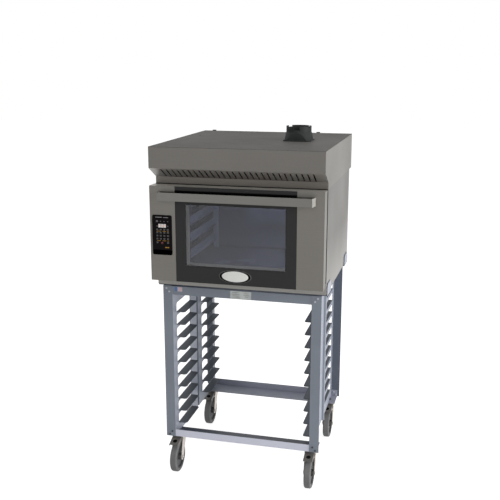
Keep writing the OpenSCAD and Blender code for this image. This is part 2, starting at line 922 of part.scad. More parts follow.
// Radial impeller round the origin, blades up from its disc, along +Z
module impeller(r, len) {
    cylinder(h = 2, r = r);
    cylinder(h = len * 0.6, r = shaft_r + 8);
    difference() {
        translate([0, 0, len - 2]) cylinder(h = 2, r = r);
        translate([0, 0, len - 3]) cylinder(h = 4, r = r - blade_depth);
    }
    for (i = [0 : blade_count - 1])
        rotate(i * 360 / blade_count)
            translate([r - blade_depth, -0.75, 1]) rotate(18) cube([blade_depth - 1, 1.5, len - 2]);
}

// Cavity fan with the shaft that runs back into its motor
module cavity_fan(s) {
    x = s * fan_spacing / 2;
    translate([x, fan_y + fan_len, fan_z]) rotate([90, 0, 0]) impeller(fan_r, fan_len);
    rod_y(x, fan_z, fan_y + fan_len / 2, insulation_back + motor_len - 10, shaft_r);
}

module fan_left() {
    color("silver") placed() cavity_fan(-1);
}

module fan_right() {
    color("silver") placed() cavity_fan(1);
}

module fan_motors() {
    color("dimgray") placed()
        for (s = [-1, 1])
            difference() {
                union() {
                    block([s * fan_spacing / 2 - motor_side / 2, insulation_back,
                            fan_z - motor_side / 2],
                        [s * fan_spacing / 2 + motor_side / 2, insulation_back + motor_flange_t,
                            fan_z + motor_side / 2]);
                    rod_y(s * fan_spacing / 2, fan_z, insulation_back + motor_flange_t - cut,
                        insulation_back + motor_len, motor_r);
                }
                rod_y(s * fan_spacing / 2, fan_z, insulation_back - cut,
                    insulation_back + motor_len - 6, shaft_r + run_gap);
            }
}

// Heating ring round each fan, with two leads to the cavity's rear wall
module heating_elements() {
    y = fan_y + fan_len / 2;
    lead_r = element_r + 1.5;
    color("darkslategray") placed()
        for (s = [-1, 1]) {
            translate([s * fan_spacing / 2, y, fan_z]) rotate([90, 0, 0])
                rotate_extrude($fn = 96)
                    translate([element_ring_r, 0]) circle(element_r, $fn = 32);
            for (side = [-1, 1])
                rod_y(s * fan_spacing / 2 + side * element_ring_r * sin(8),
                    fan_z - element_ring_r * cos(8), y - lead_r, cavity_back, lead_r);
        }
}

// Pipe from the cavity's roof up into the hood
module steam_duct() {
    z0 = cavity_top + sheet;
    z1 = body_top + 24;
    color("silver") placed()
        difference() {
            union() {
                rod_z(0, duct_y, z0, z1, duct_r);
                rod_z(0, duct_y, z0, z0 + 2, duct_r + 7);
            }
            rod_z(0, duct_y, z0 - cut, z1 + cut, duct_r - duct_wall);
        }
}

// Circuit board on spacers on the base pan, with its relays, transformer and terminals
module power_board() {
    z0 = body_z + sheet;
    board_z = z0 + 8;
    x1 = oven_w / 2 - board_side;
    x0 = x1 - board_w;
    y0 = shell_y + board_front;
    y1 = y0 + board_d;
    color("seagreen") placed() {
        for (x = [x0 + 8, x1 - 8], y = [y0 + 8, y1 - 8])
            rod_z(x, y, z0, board_z + 1, 4);
        block([x0, y0, board_z], [x1, y1, board_z + 2]);
        translate([x0 + transformer_at[0], y0 + transformer_at[1], board_z + 1])
            cube([transformer_w, transformer_d, transformer_h]);
        for (i = [0 : 3])
            block([x0 + 84 + 30 * i, y0 + 24, board_z + 1],
                [x0 + 104 + 30 * i, y0 + 52, board_z + 16]);
        block([x0 + 30, y1 - 30, board_z + 1], [x1 - 30, y1 - 14, board_z + 14]);
    }
}

// Threaded water connection on the back panel
module water_inlet() {
    y = body_back;
    color("goldenrod") placed()
        difference() {
            union() {
                rod_y(water_x, fitting_z, y - sheet - 14, y + 26, water_r);
                translate([water_x, y, fitting_z]) rotate([-90, 0, 0])
                    cylinder(h = 7, r = water_r + 5, $fn = 6);
                translate([water_x, y - sheet - 6, fitting_z]) rotate([-90, 0, 0])
                    cylinder(h = 6, r = water_r + 5, $fn = 6);
            }
            rod_y(water_x, fitting_z, y - sheet - 20, y + 30, water_r - 4);
        }
}

// Gland for the supply cable on the back panel
module cable_gland() {
    y = body_back;
    color(black) placed()
        difference() {
            union() {
                rod_y(gland_x, fitting_z, y - sheet - 12, y + 10, gland_r);
                translate([gland_x, y, fitting_z]) rotate([-90, 0, 0])
                    cylinder(h = 8, r = gland_r + 4, $fn = 6);
                translate([gland_x, y - sheet - 5, fitting_z]) rotate([-90, 0, 0])
                    cylinder(h = 5, r = gland_r + 4, $fn = 6);
                translate([gland_x, y + 8, fitting_z]) rotate([-90, 0, 0])
                    cylinder(h = 16, r1 = gland_r + 2, r2 = gland_bore_r + 3);
            }
            rod_y(gland_x, fitting_z, y - 30, y + 30, gland_bore_r);
        }
}

// Hinge arm on the front frame, with its pin, on each side
module hinge_arms() {
    foot_half = hinge_arm_t / 2 + 10;
    pin_half = hinge_arm_t / 2 + hinge_side_gap + hinge_plate_t + 1;
    color("silver") placed()
        for (s = [-1, 1]) {
            side_profile(s * hinge_x - hinge_arm_t / 2, s * hinge_x + hinge_arm_t / 2)
                union() {
                    translate([hinge_y, hinge_z]) circle(hinge_knuckle_r);
                    translate([hinge_y, hinge_z - hinge_knuckle_r])
                        square([body_y - hinge_y, 2 * hinge_knuckle_r]);
                }
            block([s * hinge_x - foot_half, body_y - hinge_foot_t, hinge_z - hinge_foot_drop],
                [s * hinge_x + foot_half, body_y, hinge_z + hinge_foot_rise]);
            rod_x(hinge_y, hinge_z, s * hinge_x - pin_half, s * hinge_x + pin_half,
                hinge_pin_r);
        }
}

// Door

// Clear space in the door round each hinge arm, open to the back and the bottom
module hinge_notches() {
    for (s = [-1, 1])
        block([s * hinge_x - hinge_notch_w / 2, hinge_y - hinge_knuckle_r - 6, door_z - cut],
            [s * hinge_x + hinge_notch_w / 2, door_t + cut, hinge_z + hinge_knuckle_r + 8]);
}

// Outer skin: folded sheet with a place for the glass across its middle
module door_skin() {
    half = oven_w / 2;
    back = door_t - sheet;
    color(stainless) placed()
        difference() {
            block([-half, 0, door_z], [half, back, door_top]);
            block([-half + sheet, sheet, door_z + sheet],
                [half - sheet, back + cut, door_top - sheet]);
            block([-glass_w / 2 - 0.3, -cut, door_z - cut],
                [glass_w / 2 + 0.3, glass_t, door_top + cut]);
            hinge_notches();
        }
}

module door_outer_glass() {
    color([0.08, 0.08, 0.08]) placed()
        block([-glass_w / 2, 0, door_z], [glass_w / 2, glass_t, door_top]);
}

// Inner door: back plate with the window's tunnel
module door_inner_frame() {
    half = oven_w / 2;
    hw = window_w / 2;
    color("silver") placed()
        difference() {
            union() {
                block([-half, door_t - sheet, door_z], [half, door_t, door_top]);
                block([-hw - sheet, glass_t, window_z - sheet],
                    [hw + sheet, door_t, window_top + sheet]);
            }
            block([-hw, glass_t - cut, window_z], [hw, door_t + cut, window_top]);
            hinge_notches();
        }
}

module door_inner_glass() {
    gap = 0.3;
    hw = window_w / 2 - gap;
    y1 = door_t - 4;
    color("lightblue", 0.4) placed()
        block([-hw, y1 - glass_t, window_z + gap], [hw, y1, window_top - gap]);
}

// Flat bar handle with leaning ends
module door_handle() {
    h0 = handle_len / 2;
    h1 = h0 - handle_lean;
    z0 = door_top - handle_drop - handle_h;
    color(stainless) placed()
        translate([0, 0, z0]) linear_extrude(handle_h)
            polygon([[-h0, 0], [-h1, -handle_reach], [h1, -handle_reach], [h0, 0],
                [h0 - 2 * handle_t, 0], [h1 - handle_t, handle_t - handle_reach],
                [handle_t - h1, handle_t - handle_reach], [2 * handle_t - h0, 0]]);
}

// Glossy panel with the display and the touch keys
module control_panel() {
    rise = 2;
    corner = 8;
    x = -oven_w / 2 + panel_inset + panel_w / 2;
    z = door_z + panel_rise + panel_h / 2;
    color(black) placed()
        translate([x, 0, z]) rotate([90, 0, 0])
            linear_extrude(rise) round_rect(panel_w, panel_h, corner);
}

// Bored plates on the inner door, on both sides of each hinge arm
module door_hinge_plates() {
    gap = hinge_arm_t / 2 + hinge_side_gap;
    y0 = hinge_y - 10;
    y1 = door_t - sheet;
    color("silver") placed()
        for (s = [-1, 1], side = [-1, 1]) {
            x = s * hinge_x + side * (gap + hinge_plate_t / 2);
            side_profile(x - hinge_plate_t / 2, x + hinge_plate_t / 2)
                difference() {
                    union() {
                        translate([y0, hinge_z]) square([y1 - y0, hinge_plate_rise]);
                        translate([hinge_y, hinge_z]) circle(10);
                    }
                    translate([hinge_y, hinge_z]) circle(hinge_pin_r + run_gap);
                    translate([y1, hinge_z - 20]) square([20, 100]);
                }
        }
}

// Hood

function slope_at(y) = fascia_z - y * slope_drop / skirt_y;

module hood_outline() {
    polygon([[0, fascia_z], [0, hood_top - sheet], [hood_d, hood_top - sheet],
        [hood_d, body_top], [skirt_y, body_top], [skirt_y, slope_z]]);
}

module hood_inside() {
    lift = sheet / cos(slope_angle);
    polygon([[sheet, slope_at(sheet) + lift], [sheet, hood_top],
        [hood_d - sheet, hood_top], [hood_d - sheet, body_top + sheet],
        [skirt_y + sheet, body_top + sheet],
        [skirt_y + sheet, slope_at(skirt_y + sheet) + lift]]);
}

// Sheet of the sloped face and the skirt, which the grille panel fills
module grille_outline() {
    lift = sheet / cos(slope_angle);
    polygon([[0, fascia_z], [sheet, slope_at(sheet) + lift],
        [skirt_y + sheet, slope_at(skirt_y + sheet) + lift], [skirt_y + sheet, body_top],
        [skirt_y, body_top], [skirt_y, slope_z]]);
}

// Back, sides, floor and upright front of the hood
module hood_shell() {
    half = oven_w / 2;
    color(stainless) placed()
        difference() {
            side_profile(-half, half) hood_outline();
            side_profile(-half + sheet, half - sheet) hood_inside();
            side_profile(-half + sheet, half - sheet) grille_outline();
            rod_z(0, duct_y, body_top - cut, body_top + sheet + cut, duct_r + cut);
        }
}

// Flat cover of the hood, with the outlet's hole and two low tabs at its rear edge
module hood_cover() {
    half = oven_w / 2;
    hole_r = vent_r - vent_wall + 2;
    color(stainless) placed() {
        difference() {
            block([-half, 0, hood_top - sheet], [half, hood_d, hood_top]);
            rod_z(vent_x, vent_y, hood_top - sheet - cut, hood_top + cut, hole_r);
        }
        for (x = [hood_tab_insets[0] - half, half - hood_tab_insets[1]])
            block([x - hood_tab_w / 2, hood_d - 2 * sheet, hood_top - cut],
                [x + hood_tab_w / 2, hood_d - sheet, hood_top + hood_tab_h]);
    }
}

// Middle of each air slot, in two equal groups with a wider step at the seam
function slot_x(i) = (i - (slot_count - 1) / 2) * slot_pitch
    + (i < slot_count / 2 ? -2 : 2);

module hood_grille() {
    half = oven_w / 2 - sheet;
    color(stainless) placed()
        difference() {
            side_profile(-half, half) grille_outline();
            for (i = [0 : slot_count - 1])
                translate([slot_x(i), skirt_y / 2, slope_at(skirt_y / 2)])
                    rotate([-slope_angle, 0, 0])
                        linear_extrude(8, center = true)
                            round_rect(slot_w, slot_len, slot_w / 2 - 0.05);
        }
}

// Frame of upright baffle slats behind the grille
module hood_filter() {
    half = oven_w / 2 - filter_inset;
    y0 = skirt_y + filter_gap;
    y1 = y0 + filter_t;
    z0 = body_top + sheet;
    z1 = hood_top - 20;
    border = filter_border;
    slat_count = 25;
    step = 2 * (half - border) / slat_count;
    color("gray") placed() {
        difference() {
            block([-half, y0, z0], [half, y1, z1]);
            block([-half + border, y0 - cut, z0 + border], [half - border, y1 + cut, z1 - border]);
        }
        for (i = [0 : slat_count - 1])
            translate([-half + border + (i + 0.5) * step, (y0 + y1) / 2, z0 + border - cut])
                rotate([0, 0, 35])
                    translate([-1, 1 - filter_t / 2, 0])
                        cube([2, filter_t - 2, z1 - z0 - 2 * border + 2 * cut]);
    }
}

module hood_fan() {
    color("silver") placed() {
        translate([vent_x, vent_y, hood_fan_z]) impeller(hood_fan_r, hood_fan_h);
        rod_z(vent_x, vent_y, body_top + sheet + 8, hood_fan_z + 4, shaft_r);
    }
}

module hood_motor() {
    z0 = body_top + sheet;
    color("dimgray") placed()
        difference() {
            union() {
                rod_z(vent_x, vent_y, z0, z0 + 4, hood_motor_r + 14);
                rod_z(vent_x, vent_y, z0, z0 + hood_motor_h, hood_motor_r);
            }
            rod_z(vent_x, vent_y, z0 + 4, z0 + hood_motor_h + cut, shaft_r + run_gap);
        }
}

// Ring sector round the origin, from angle a0 to a1
module ring_sector(r0, r1, h, a0, a1) {
    rotate([0, 0, a0]) rotate_extrude(angle = a1 - a0) translate([r0, 0]) square([r1 - r0, h]);
}

// Black outlet: square lipped foot, tapered body, round collar and a castellated rim
module vent_collar() {
    lip_corner_r = 18;
    body_z1 = vent_h - vent_ring_h - vent_rise_h;
    rim_z = vent_h - vent_rise_h;
    inner_r = vent_r - vent_wall;
    low_gaps = [[39, 48], [134, 160], [222, 250], [334, 343]];
    window_angle = 269;
    window_w = 31;
    window_h = 11;
    color(black) placed()
        translate([vent_x, vent_y, hood_top])
            difference() {
                union() {
                    linear_extrude(vent_lip) round_rect(vent_foot, vent_foot, lip_corner_r);
                    intersection() {
                        rotate(45)
                            cylinder(h = body_z1, r1 = vent_waist / sqrt(2),
                                r2 = (vent_r + 1) * sqrt(2), $fn = 4);
                        cylinder(h = body_z1, r1 = vent_waist * 0.66, r2 = vent_r + 0.5);
                    }
                    translate([0, 0, body_z1 - cut])
                        cylinder(h = vent_h - body_z1 + cut, r = vent_r);
                }
                for (g = low_gaps)
                    translate([0, 0, rim_z])
                        ring_sector(inner_r - 5, vent_r + 5, 2 * vent_rise_h, g[0], g[1]);
                translate([0, 0, -cut]) cylinder(h = vent_h + 2 * cut, r = inner_r);
                rotate([0, 0, window_angle])
                    translate([inner_r - 8, -window_w / 2, rim_z - window_h])
                        cube([20, window_w, 2 * vent_h]);
            }
}

side_frame_left();
side_frame_right();
pan_slides_left();
pan_slides_right();
top_rails();
bottom_rails();
oven_retainers();
stand_bolts();
caster_mounts();
caster_fork_fl();
caster_fork_fr();
caster_fork_rl();
caster_fork_rr();
caster_hub_fl();
caster_hub_fr();
caster_hub_rl();
caster_hub_rr();
caster_tyre_fl();
caster_tyre_fr();
caster_tyre_rl();
caster_tyre_rr();
brake_pedal_fl();
brake_pedal_fr();
brake_pedal_rl();
brake_pedal_rr();
oven_feet();
base_pan();
casing_left();
casing_right();
casing_top();
casing_back();
front_frame();
cavity_liner();
insulation();
door_gasket();
tray_racks();
fan_baffle();
fan_left();
fan_right();
fan_motors();
heating_elements();
steam_duct();
power_board();
water_inlet();
cable_gland();
hinge_arms();
door_skin();
door_outer_glass();
door_inner_glass();
door_inner_frame();
door_handle();
control_panel();
door_hinge_plates();
hood_shell();
hood_cover();
hood_grille();
hood_filter();
hood_fan();
hood_motor();
vent_collar();
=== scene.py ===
"""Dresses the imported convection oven, its hood and its mobile stand, and lights them for one still view.

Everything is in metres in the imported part's own frame: x to the right seen from the front, y from the
door towards the back and z up, with the floor at z = 0.
"""

import json
import logging
import math
from dataclasses import dataclass, field
from enum import Enum
from typing import ClassVar

import bmesh
import bpy
from mathutils import Matrix, Vector

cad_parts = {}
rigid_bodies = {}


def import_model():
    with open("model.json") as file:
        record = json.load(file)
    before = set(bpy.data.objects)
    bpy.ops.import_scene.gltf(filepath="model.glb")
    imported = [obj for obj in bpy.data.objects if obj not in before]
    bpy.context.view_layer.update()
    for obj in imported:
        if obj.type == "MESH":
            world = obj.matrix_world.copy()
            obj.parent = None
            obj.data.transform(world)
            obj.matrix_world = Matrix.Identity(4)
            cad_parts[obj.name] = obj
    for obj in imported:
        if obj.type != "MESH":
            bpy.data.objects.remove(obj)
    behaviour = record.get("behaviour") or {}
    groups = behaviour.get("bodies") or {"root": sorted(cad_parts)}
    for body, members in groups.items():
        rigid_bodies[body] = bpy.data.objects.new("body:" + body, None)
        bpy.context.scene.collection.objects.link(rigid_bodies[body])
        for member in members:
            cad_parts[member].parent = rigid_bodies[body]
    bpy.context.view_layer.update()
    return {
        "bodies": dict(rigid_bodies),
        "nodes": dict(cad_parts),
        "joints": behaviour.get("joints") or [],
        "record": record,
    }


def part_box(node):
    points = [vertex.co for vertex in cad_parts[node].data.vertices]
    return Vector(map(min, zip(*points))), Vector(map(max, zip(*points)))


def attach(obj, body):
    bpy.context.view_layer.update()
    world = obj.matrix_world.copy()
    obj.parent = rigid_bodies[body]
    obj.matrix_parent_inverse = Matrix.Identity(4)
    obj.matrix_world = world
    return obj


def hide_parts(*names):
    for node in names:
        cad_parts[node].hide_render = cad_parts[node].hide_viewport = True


Colour = tuple[float, float, float]
Triple = tuple[float, float, float]
Pair = tuple[float, float]
Mesh = bmesh.types.BMesh
Node = bpy.types.Node
Socket = bpy.types.NodeSocket

LOG = logging.getLogger("oven")
MM = 0.001
FLOAT = "NodeSocketFloat"
VECTOR = "NodeSocketVector"
LENGTHWISE = 0.9
SMOOTH_ANGLE = 40
MERGE_DISTANCE = 1e-6
STANDS_PROUD = 0.05 * MM
WHITE = (1.0, 1.0, 1.0)


class Body(str, Enum):
    """The rigid bodies that new pieces ride on, apart from the pedals."""

    FIXED = "oven_and_stand"
    DOOR = "door"


class Axis(Enum):
    """The frame's three directions."""

    X = Vector((1.0, 0.0, 0.0))
    Y = Vector((0.0, 1.0, 0.0))
    Z = Vector((0.0, 0.0, 1.0))


class Reading(Enum):
    """What a colour zone is bounded by: the place of a surface, or the way that it faces."""

    PLACE = "Object"
    FACING = "Normal"


class Texture(Enum):
    """The two patterns of the fine texture."""

    SPECK = "Speck"
    DUST = "Dust"


class Corner(str, Enum):
    """The four casters, seen from the front."""

    FRONT_LEFT = "fl"
    FRONT_RIGHT = "fr"
    REAR_LEFT = "rl"
    REAR_RIGHT = "rr"


def srgb(red: int, green: int, blue: int) -> Colour:
    """Turns a display colour into the linear values that shaders use.

    Args:
        red: Red, 0 to 255.
        green: Green, 0 to 255.
        blue: Blue, 0 to 255.

    Returns:
        The linear colour.
    """

    def linear(value: int) -> float:
        """One channel, from display to linear."""
        v = value / 255
        return v / 12.92 if v <= 0.04045 else ((v + 0.055) / 1.055) ** 2.4

    return linear(red), linear(green), linear(blue)


class NodeSheet:
    """Adds nodes and links to a material's or a group's node tree, left to right."""

    column_width = 180
    mix_inputs = (0, 6, 7)
    mix_result = 2

    def __init__(self, tree: bpy.types.NodeTree) -> None:
        """Keeps the tree to fill."""
        self.tree = tree
        self.column = 0

    def add(self, kind: str, **settings: object) -> Node:
        """Adds a node and sets its plain properties.

        Args:
            kind: The node's type name.
            **settings: Properties of the node.

        Returns:
            The new node.
        """
        node = self.tree.nodes.new(kind)
        node.location = (self.column * self.column_width, 0)
        self.column += 1
        for name, value in settings.items():
            setattr(node, name, value)
        return node

    def feed(self, node: Node, label: str | int, value: Socket | float | Triple) -> None:
        """Links an output to a node's input, or sets the input's own value.

        Args:
            node: The node.
            label: Name or number of its input.
            value: An output, a number, or three numbers for a colour or a vector.
        """
        target = node.inputs[label]
        if isinstance(value, Socket):
            self.tree.links.new(value, target)
        elif target.type == "RGBA":
            target.default_value = (*value, 1.0)
        else:
            target.default_value = value

    def ramp(self, value: Socket, low: float, high: float, start: float = 0.0, end: float = 1.0) -> Socket:
        """Maps a range of one value onto another, held at both ends.

        Args:
            value: The value to map.
            low: Value that gives start.
            high: Value that gives end.
            start: Result at low.
            end: Result at high.

        Returns:
            The mapped value's socket.
        """
        node = self.add("ShaderNodeMapRange", clamp=True)
        labels = ("Value", "From Min", "From Max", "To Min", "To Max")
        for label, given in zip(labels, (value, low, high, start, end)):
            self.feed(node, label, given)
        return node.outputs["Result"]

    def mix(self, mask: Socket, first: Socket | Colour, second: Colour, kind: str = "MIX") -> Socket:
        """Mixes a colour with a fixed one by a mask.

        Args:
            mask: 0 for the first colour, 1 for the second.
            first: A colour that varies, or a linear colour.
            second: Linear colour.
            kind: The Mix node's way of mixing.

        Returns:
            The mixed colour's socket.
        """
        node = self.add("ShaderNodeMix", data_type="RGBA", blend_type=kind)
        for index, given in zip(self.mix_inputs, (mask, first, second)):
            self.feed(node, index, given)
        return node.outputs[self.mix_result]

    def math(self, operation: str, *values: Socket | float) -> Socket:
        """Works one sum.

        Args:
            operation: The Math node's operation.
            *values: Its values, sockets or numbers.

        Returns:
            The result's socket.
        """
        node = self.add("ShaderNodeMath", operation=operation)
        for index, value in enumerate(values):
            self.feed(node, index, value)
        return node.outputs[0]

    def product(self, first: Socket, *others: Socket | float) -> Socket:
        """Multiplies values.

        Args:
            first: The first value.
            *others: The other values.

        Returns:
            The product's socket.
        """
        for other in others:
            first = self.math("MULTIPLY", first, other)
        return first

    def noise(
        self, vector: Socket, scale: Socket | float, detail: float = 2.0, roughness: float = 0.5
    ) -> Socket:
        """Adds a noise.

        Args:
            vector: Where it is looked up.
            scale: Its scale.
            detail: Its number of finer layers.
            roughness: How strong the finer layers are.

        Returns:
            The noise's socket.
        """
        node = self.add("ShaderNodeTexNoise")
        given = {"Vector": vector, "Scale": scale, "Detail": detail, "Roughness": roughness}
        for label, value in given.items():
            self.feed(node, label, value)
        return node.outputs["Fac"]

    def vectors(self, operation: str, first: Socket, second: Socket, result: str) -> Socket:
        """Works one sum on two vectors.

        Args:
            operation: The Vector Math node's operation.
            first: The first vector.
            second: The second vector.
            result: The output to use.

        Returns:
            The result's socket.
        """
        node = self.add("ShaderNodeVectorMath", operation=operation)
        self.feed(node, 0, first)
        self.feed(node, 1, second)
        return node.outputs[result]

    def points(self) -> Socket:
        """Returns the Object coordinates."""
        return self.add("ShaderNodeTexCoord").outputs["Object"]

    def coordinate(self, reading: Reading, axis: Axis) -> Socket:
        """Returns one part of a texture coordinate.

        Args:
            reading: The place or the normal.
            axis: The part of it.

        Returns:
            The part's socket.
        """
        split = self.add("ShaderNodeSeparateXYZ")
        self.feed(split, 0, self.add("ShaderNodeTexCoord").outputs[reading.value])
        return split.outputs[axis.name]


def make_group(
    name: str, inputs: dict[str, float | Triple], outputs: dict[str, str]
) -> tuple[NodeSheet, Node, Node]:
    """Starts a shader node group with named sockets.

    Args:
        name: The group's name.
        inputs: Default value of each input, three numbers for a vector.
        outputs: Socket type of each output.

    Returns:
        A sheet on the group, its input node and its output node.
    """
    group = bpy.data.node_groups.new(name, "ShaderNodeTree")
    for label, default in inputs.items():
        kind = FLOAT if isinstance(default, float) else VECTOR
        group.interface.new_socket(label, in_out="INPUT", socket_type=kind).default_value = default
    for label, kind in outputs.items():
        group.interface.new_socket(label, in_out="OUTPUT", socket_type=kind)
    sheet = NodeSheet(group)
    return sheet, sheet.add("NodeGroupInput"), sheet.add("NodeGroupOutput")


def build_grain_group() -> None:
    """Makes fine parallel brush lines, with slow drifts of shade across the sheet."""
    sheet, given, out = make_group(
        "Sheet grain",
        {"Stretch": (40.0, 40.0, 900.0), "Drift Scale": 2.2},
        {"Lines": FLOAT, "Drift": FLOAT, "Height": FLOAT},
    )
    points = sheet.points()
    pulled = sheet.vectors("MULTIPLY", points, given.outputs["Stretch"], "Vector")
    lines = sheet.noise(pulled, scale=1.0, detail=3.0, roughness=0.65)
    drift = sheet.noise(points, given.outputs["Drift Scale"])
    sheet.feed(out, "Lines", sheet.ramp(lines, low=0.3, high=0.7))
    sheet.feed(out, "Drift", sheet.ramp(drift, low=0.35, high=0.65))
    sheet.feed(out, "Height", lines)


def build_edge_group() -> None:
    """Makes worn or rounded edges, where the surface turns within a few millimetres."""
    sheet, given, out = make_group(
        "Turned edges", {"Radius": 0.002, "Wear": 1.0}, {"Edge": FLOAT, "Normal": VECTOR}
    )
    rounded = sheet.add("ShaderNodeBevel", samples=4)
    sheet.feed(rounded, "Radius", given.outputs["Radius"])
    flat = sheet.add("ShaderNodeNewGeometry").outputs["True Normal"]
    turn = sheet.vectors("DOT_PRODUCT", rounded.outputs["Normal"], flat, "Value")
    patches = sheet.noise(sheet.points(), scale=60.0)
    breaks = sheet.ramp(patches, low=0.35, high=0.6, start=0.35)
    worn = sheet.product(sheet.ramp(turn, low=0.995, high=0.86), breaks, given.outputs["Wear"])
    sheet.feed(out, "Edge", worn)
    sheet.feed(out, "Normal", rounded.outputs["Normal"])


def build_speck_group() -> None:
    """Makes the fine grain of moulded, coated or cast surfaces, with soft patches of dust."""
    sheet, given, out = make_group(
        "Fine texture",
        {"Grain Scale": 700.0, "Dust Scale": 9.0},
        {"Speck": FLOAT, "Dust": FLOAT, "Height": FLOAT},
    )
    points = sheet.points()
    speck = sheet.noise(points, given.outputs["Grain Scale"])
    dust = sheet.noise(points, given.outputs["Dust Scale"], detail=4.0)
    sheet.feed(out, "Speck", sheet.ramp(speck, low=0.3, high=0.7))
    sheet.feed(out, "Dust", sheet.ramp(dust, low=0.42, high=0.72))
    sheet.feed(out, "Height", speck)


@dataclass(frozen=True)
class Bound:
    """A ramp from 0 to 1 by the place of a surface, or by the way it faces, along one axis."""

    axis: Axis
    start: float
    full: float
    reading: Reading = Reading.PLACE
    both_sides: bool = False

    def mask(self, sheet: NodeSheet) -> Socket:
        """Adds the ramp.

        Args:
            sheet: The material's node sheet.

        Returns:
            The mask's socket.
        """
        value = sheet.coordinate(self.reading, self.axis)
        if self.both_sides:
            value = sheet.math("ABSOLUTE", value)
        return sheet.ramp(value, self.start, self.full)


@dataclass(frozen=True)
class SlotStripes:
    """A stripe along each slot of the hood's slope, counted from the seam in its middle, for painted shade
    that lengthens the slots.
    """

    pitch: float = 25.5 * MM
    seam: float = 2 * MM
    half: float = 3.4 * MM
    core: float = 0.85

    def mask(self, sheet: NodeSheet) -> Socket:
        """Adds the stripes.

        Args:
            sheet: The material's node sheet.

        Returns:
            The mask's socket.
        """
        across = sheet.coordinate(Reading.PLACE, Axis.X)
        seam = sheet.math("MULTIPLY", sheet.math("SIGN", across), self.seam)
        steps = sheet.math("DIVIDE", sheet.math("SUBTRACT", across, seam), self.pitch)
        off = sheet.math("ABSOLUTE", sheet.math("SUBTRACT", sheet.math("FRACT", steps), 0.5))
        edge = self.half / self.pitch
        return sheet.ramp(off, edge, edge * self.core)


@dataclass(frozen=True)
class Zone:
    """Another colour where all of some bounds hold."""

    colour: Colour
    bounds: tuple[Bound | SlotStripes, ...]

    def paint(self, sheet: NodeSheet, colour: Socket) -> Socket:
        """Returns the colour, with the zone's own colour inside the bounds."""
        return sheet.mix(sheet.product(*[b.mask(sheet) for b in self.bounds]), colour, self.colour)


ENDS = Bound(Axis.X, 0.7, 0.8, Reading.FACING, True)
FACES_SIDE = Bound(Axis.X, 0.8, 0.9, Reading.FACING, True)
FACES_FRONT = Bound(Axis.Y, -0.8, -0.9, Reading.FACING)
FACES_UP = Bound(Axis.Z, 0.8, 0.9, Reading.FACING)
FORK_CHEEKS = Bound(Axis.X, 0.75, 0.9, Reading.FACING, True)
SLOPE_PAINTED_HIGHLIGHT_END = Bound(Axis.X, -0.36, -0.4)
SLOPE_SKIRT = Bound(Axis.Z, 1.4865, 1.4845)
SLOTS_WIDE = Bound(Axis.X, 0.36, 0.359, both_sides=True)
SLOTS_HIGH = (Bound(Axis.Z, 1.4873, 1.4878), Bound(Axis.Z, 1.5295, 1.5290))
BEHIND_HANDLE_WIDE = Bound(Axis.X, 0.352, 0.348, both_sides=True)
BEHIND_HANDLE_HIGH = (Bound(Axis.Z, 1.4145, 1.4185), Bound(Axis.Z, 1.4335, 1.4295))
HANDLE_IN_GLASS = (Bound(Axis.Z, 1.386, 1.389), Bound(Axis.Z, 1.440, 1.437))
OVEN_FOOT = Bound(Axis.Z, 1.22, 1.0)
STAND_REAR = Bound(Axis.Y, 0.1, 0.11)
STAND_FRONT = Bound(Axis.Y, -0.1, -0.11)
LOW_FRONT = (Bound(Axis.Z, 0.6, 0.59), Bound(Axis.Y, 0.0, -0.01))


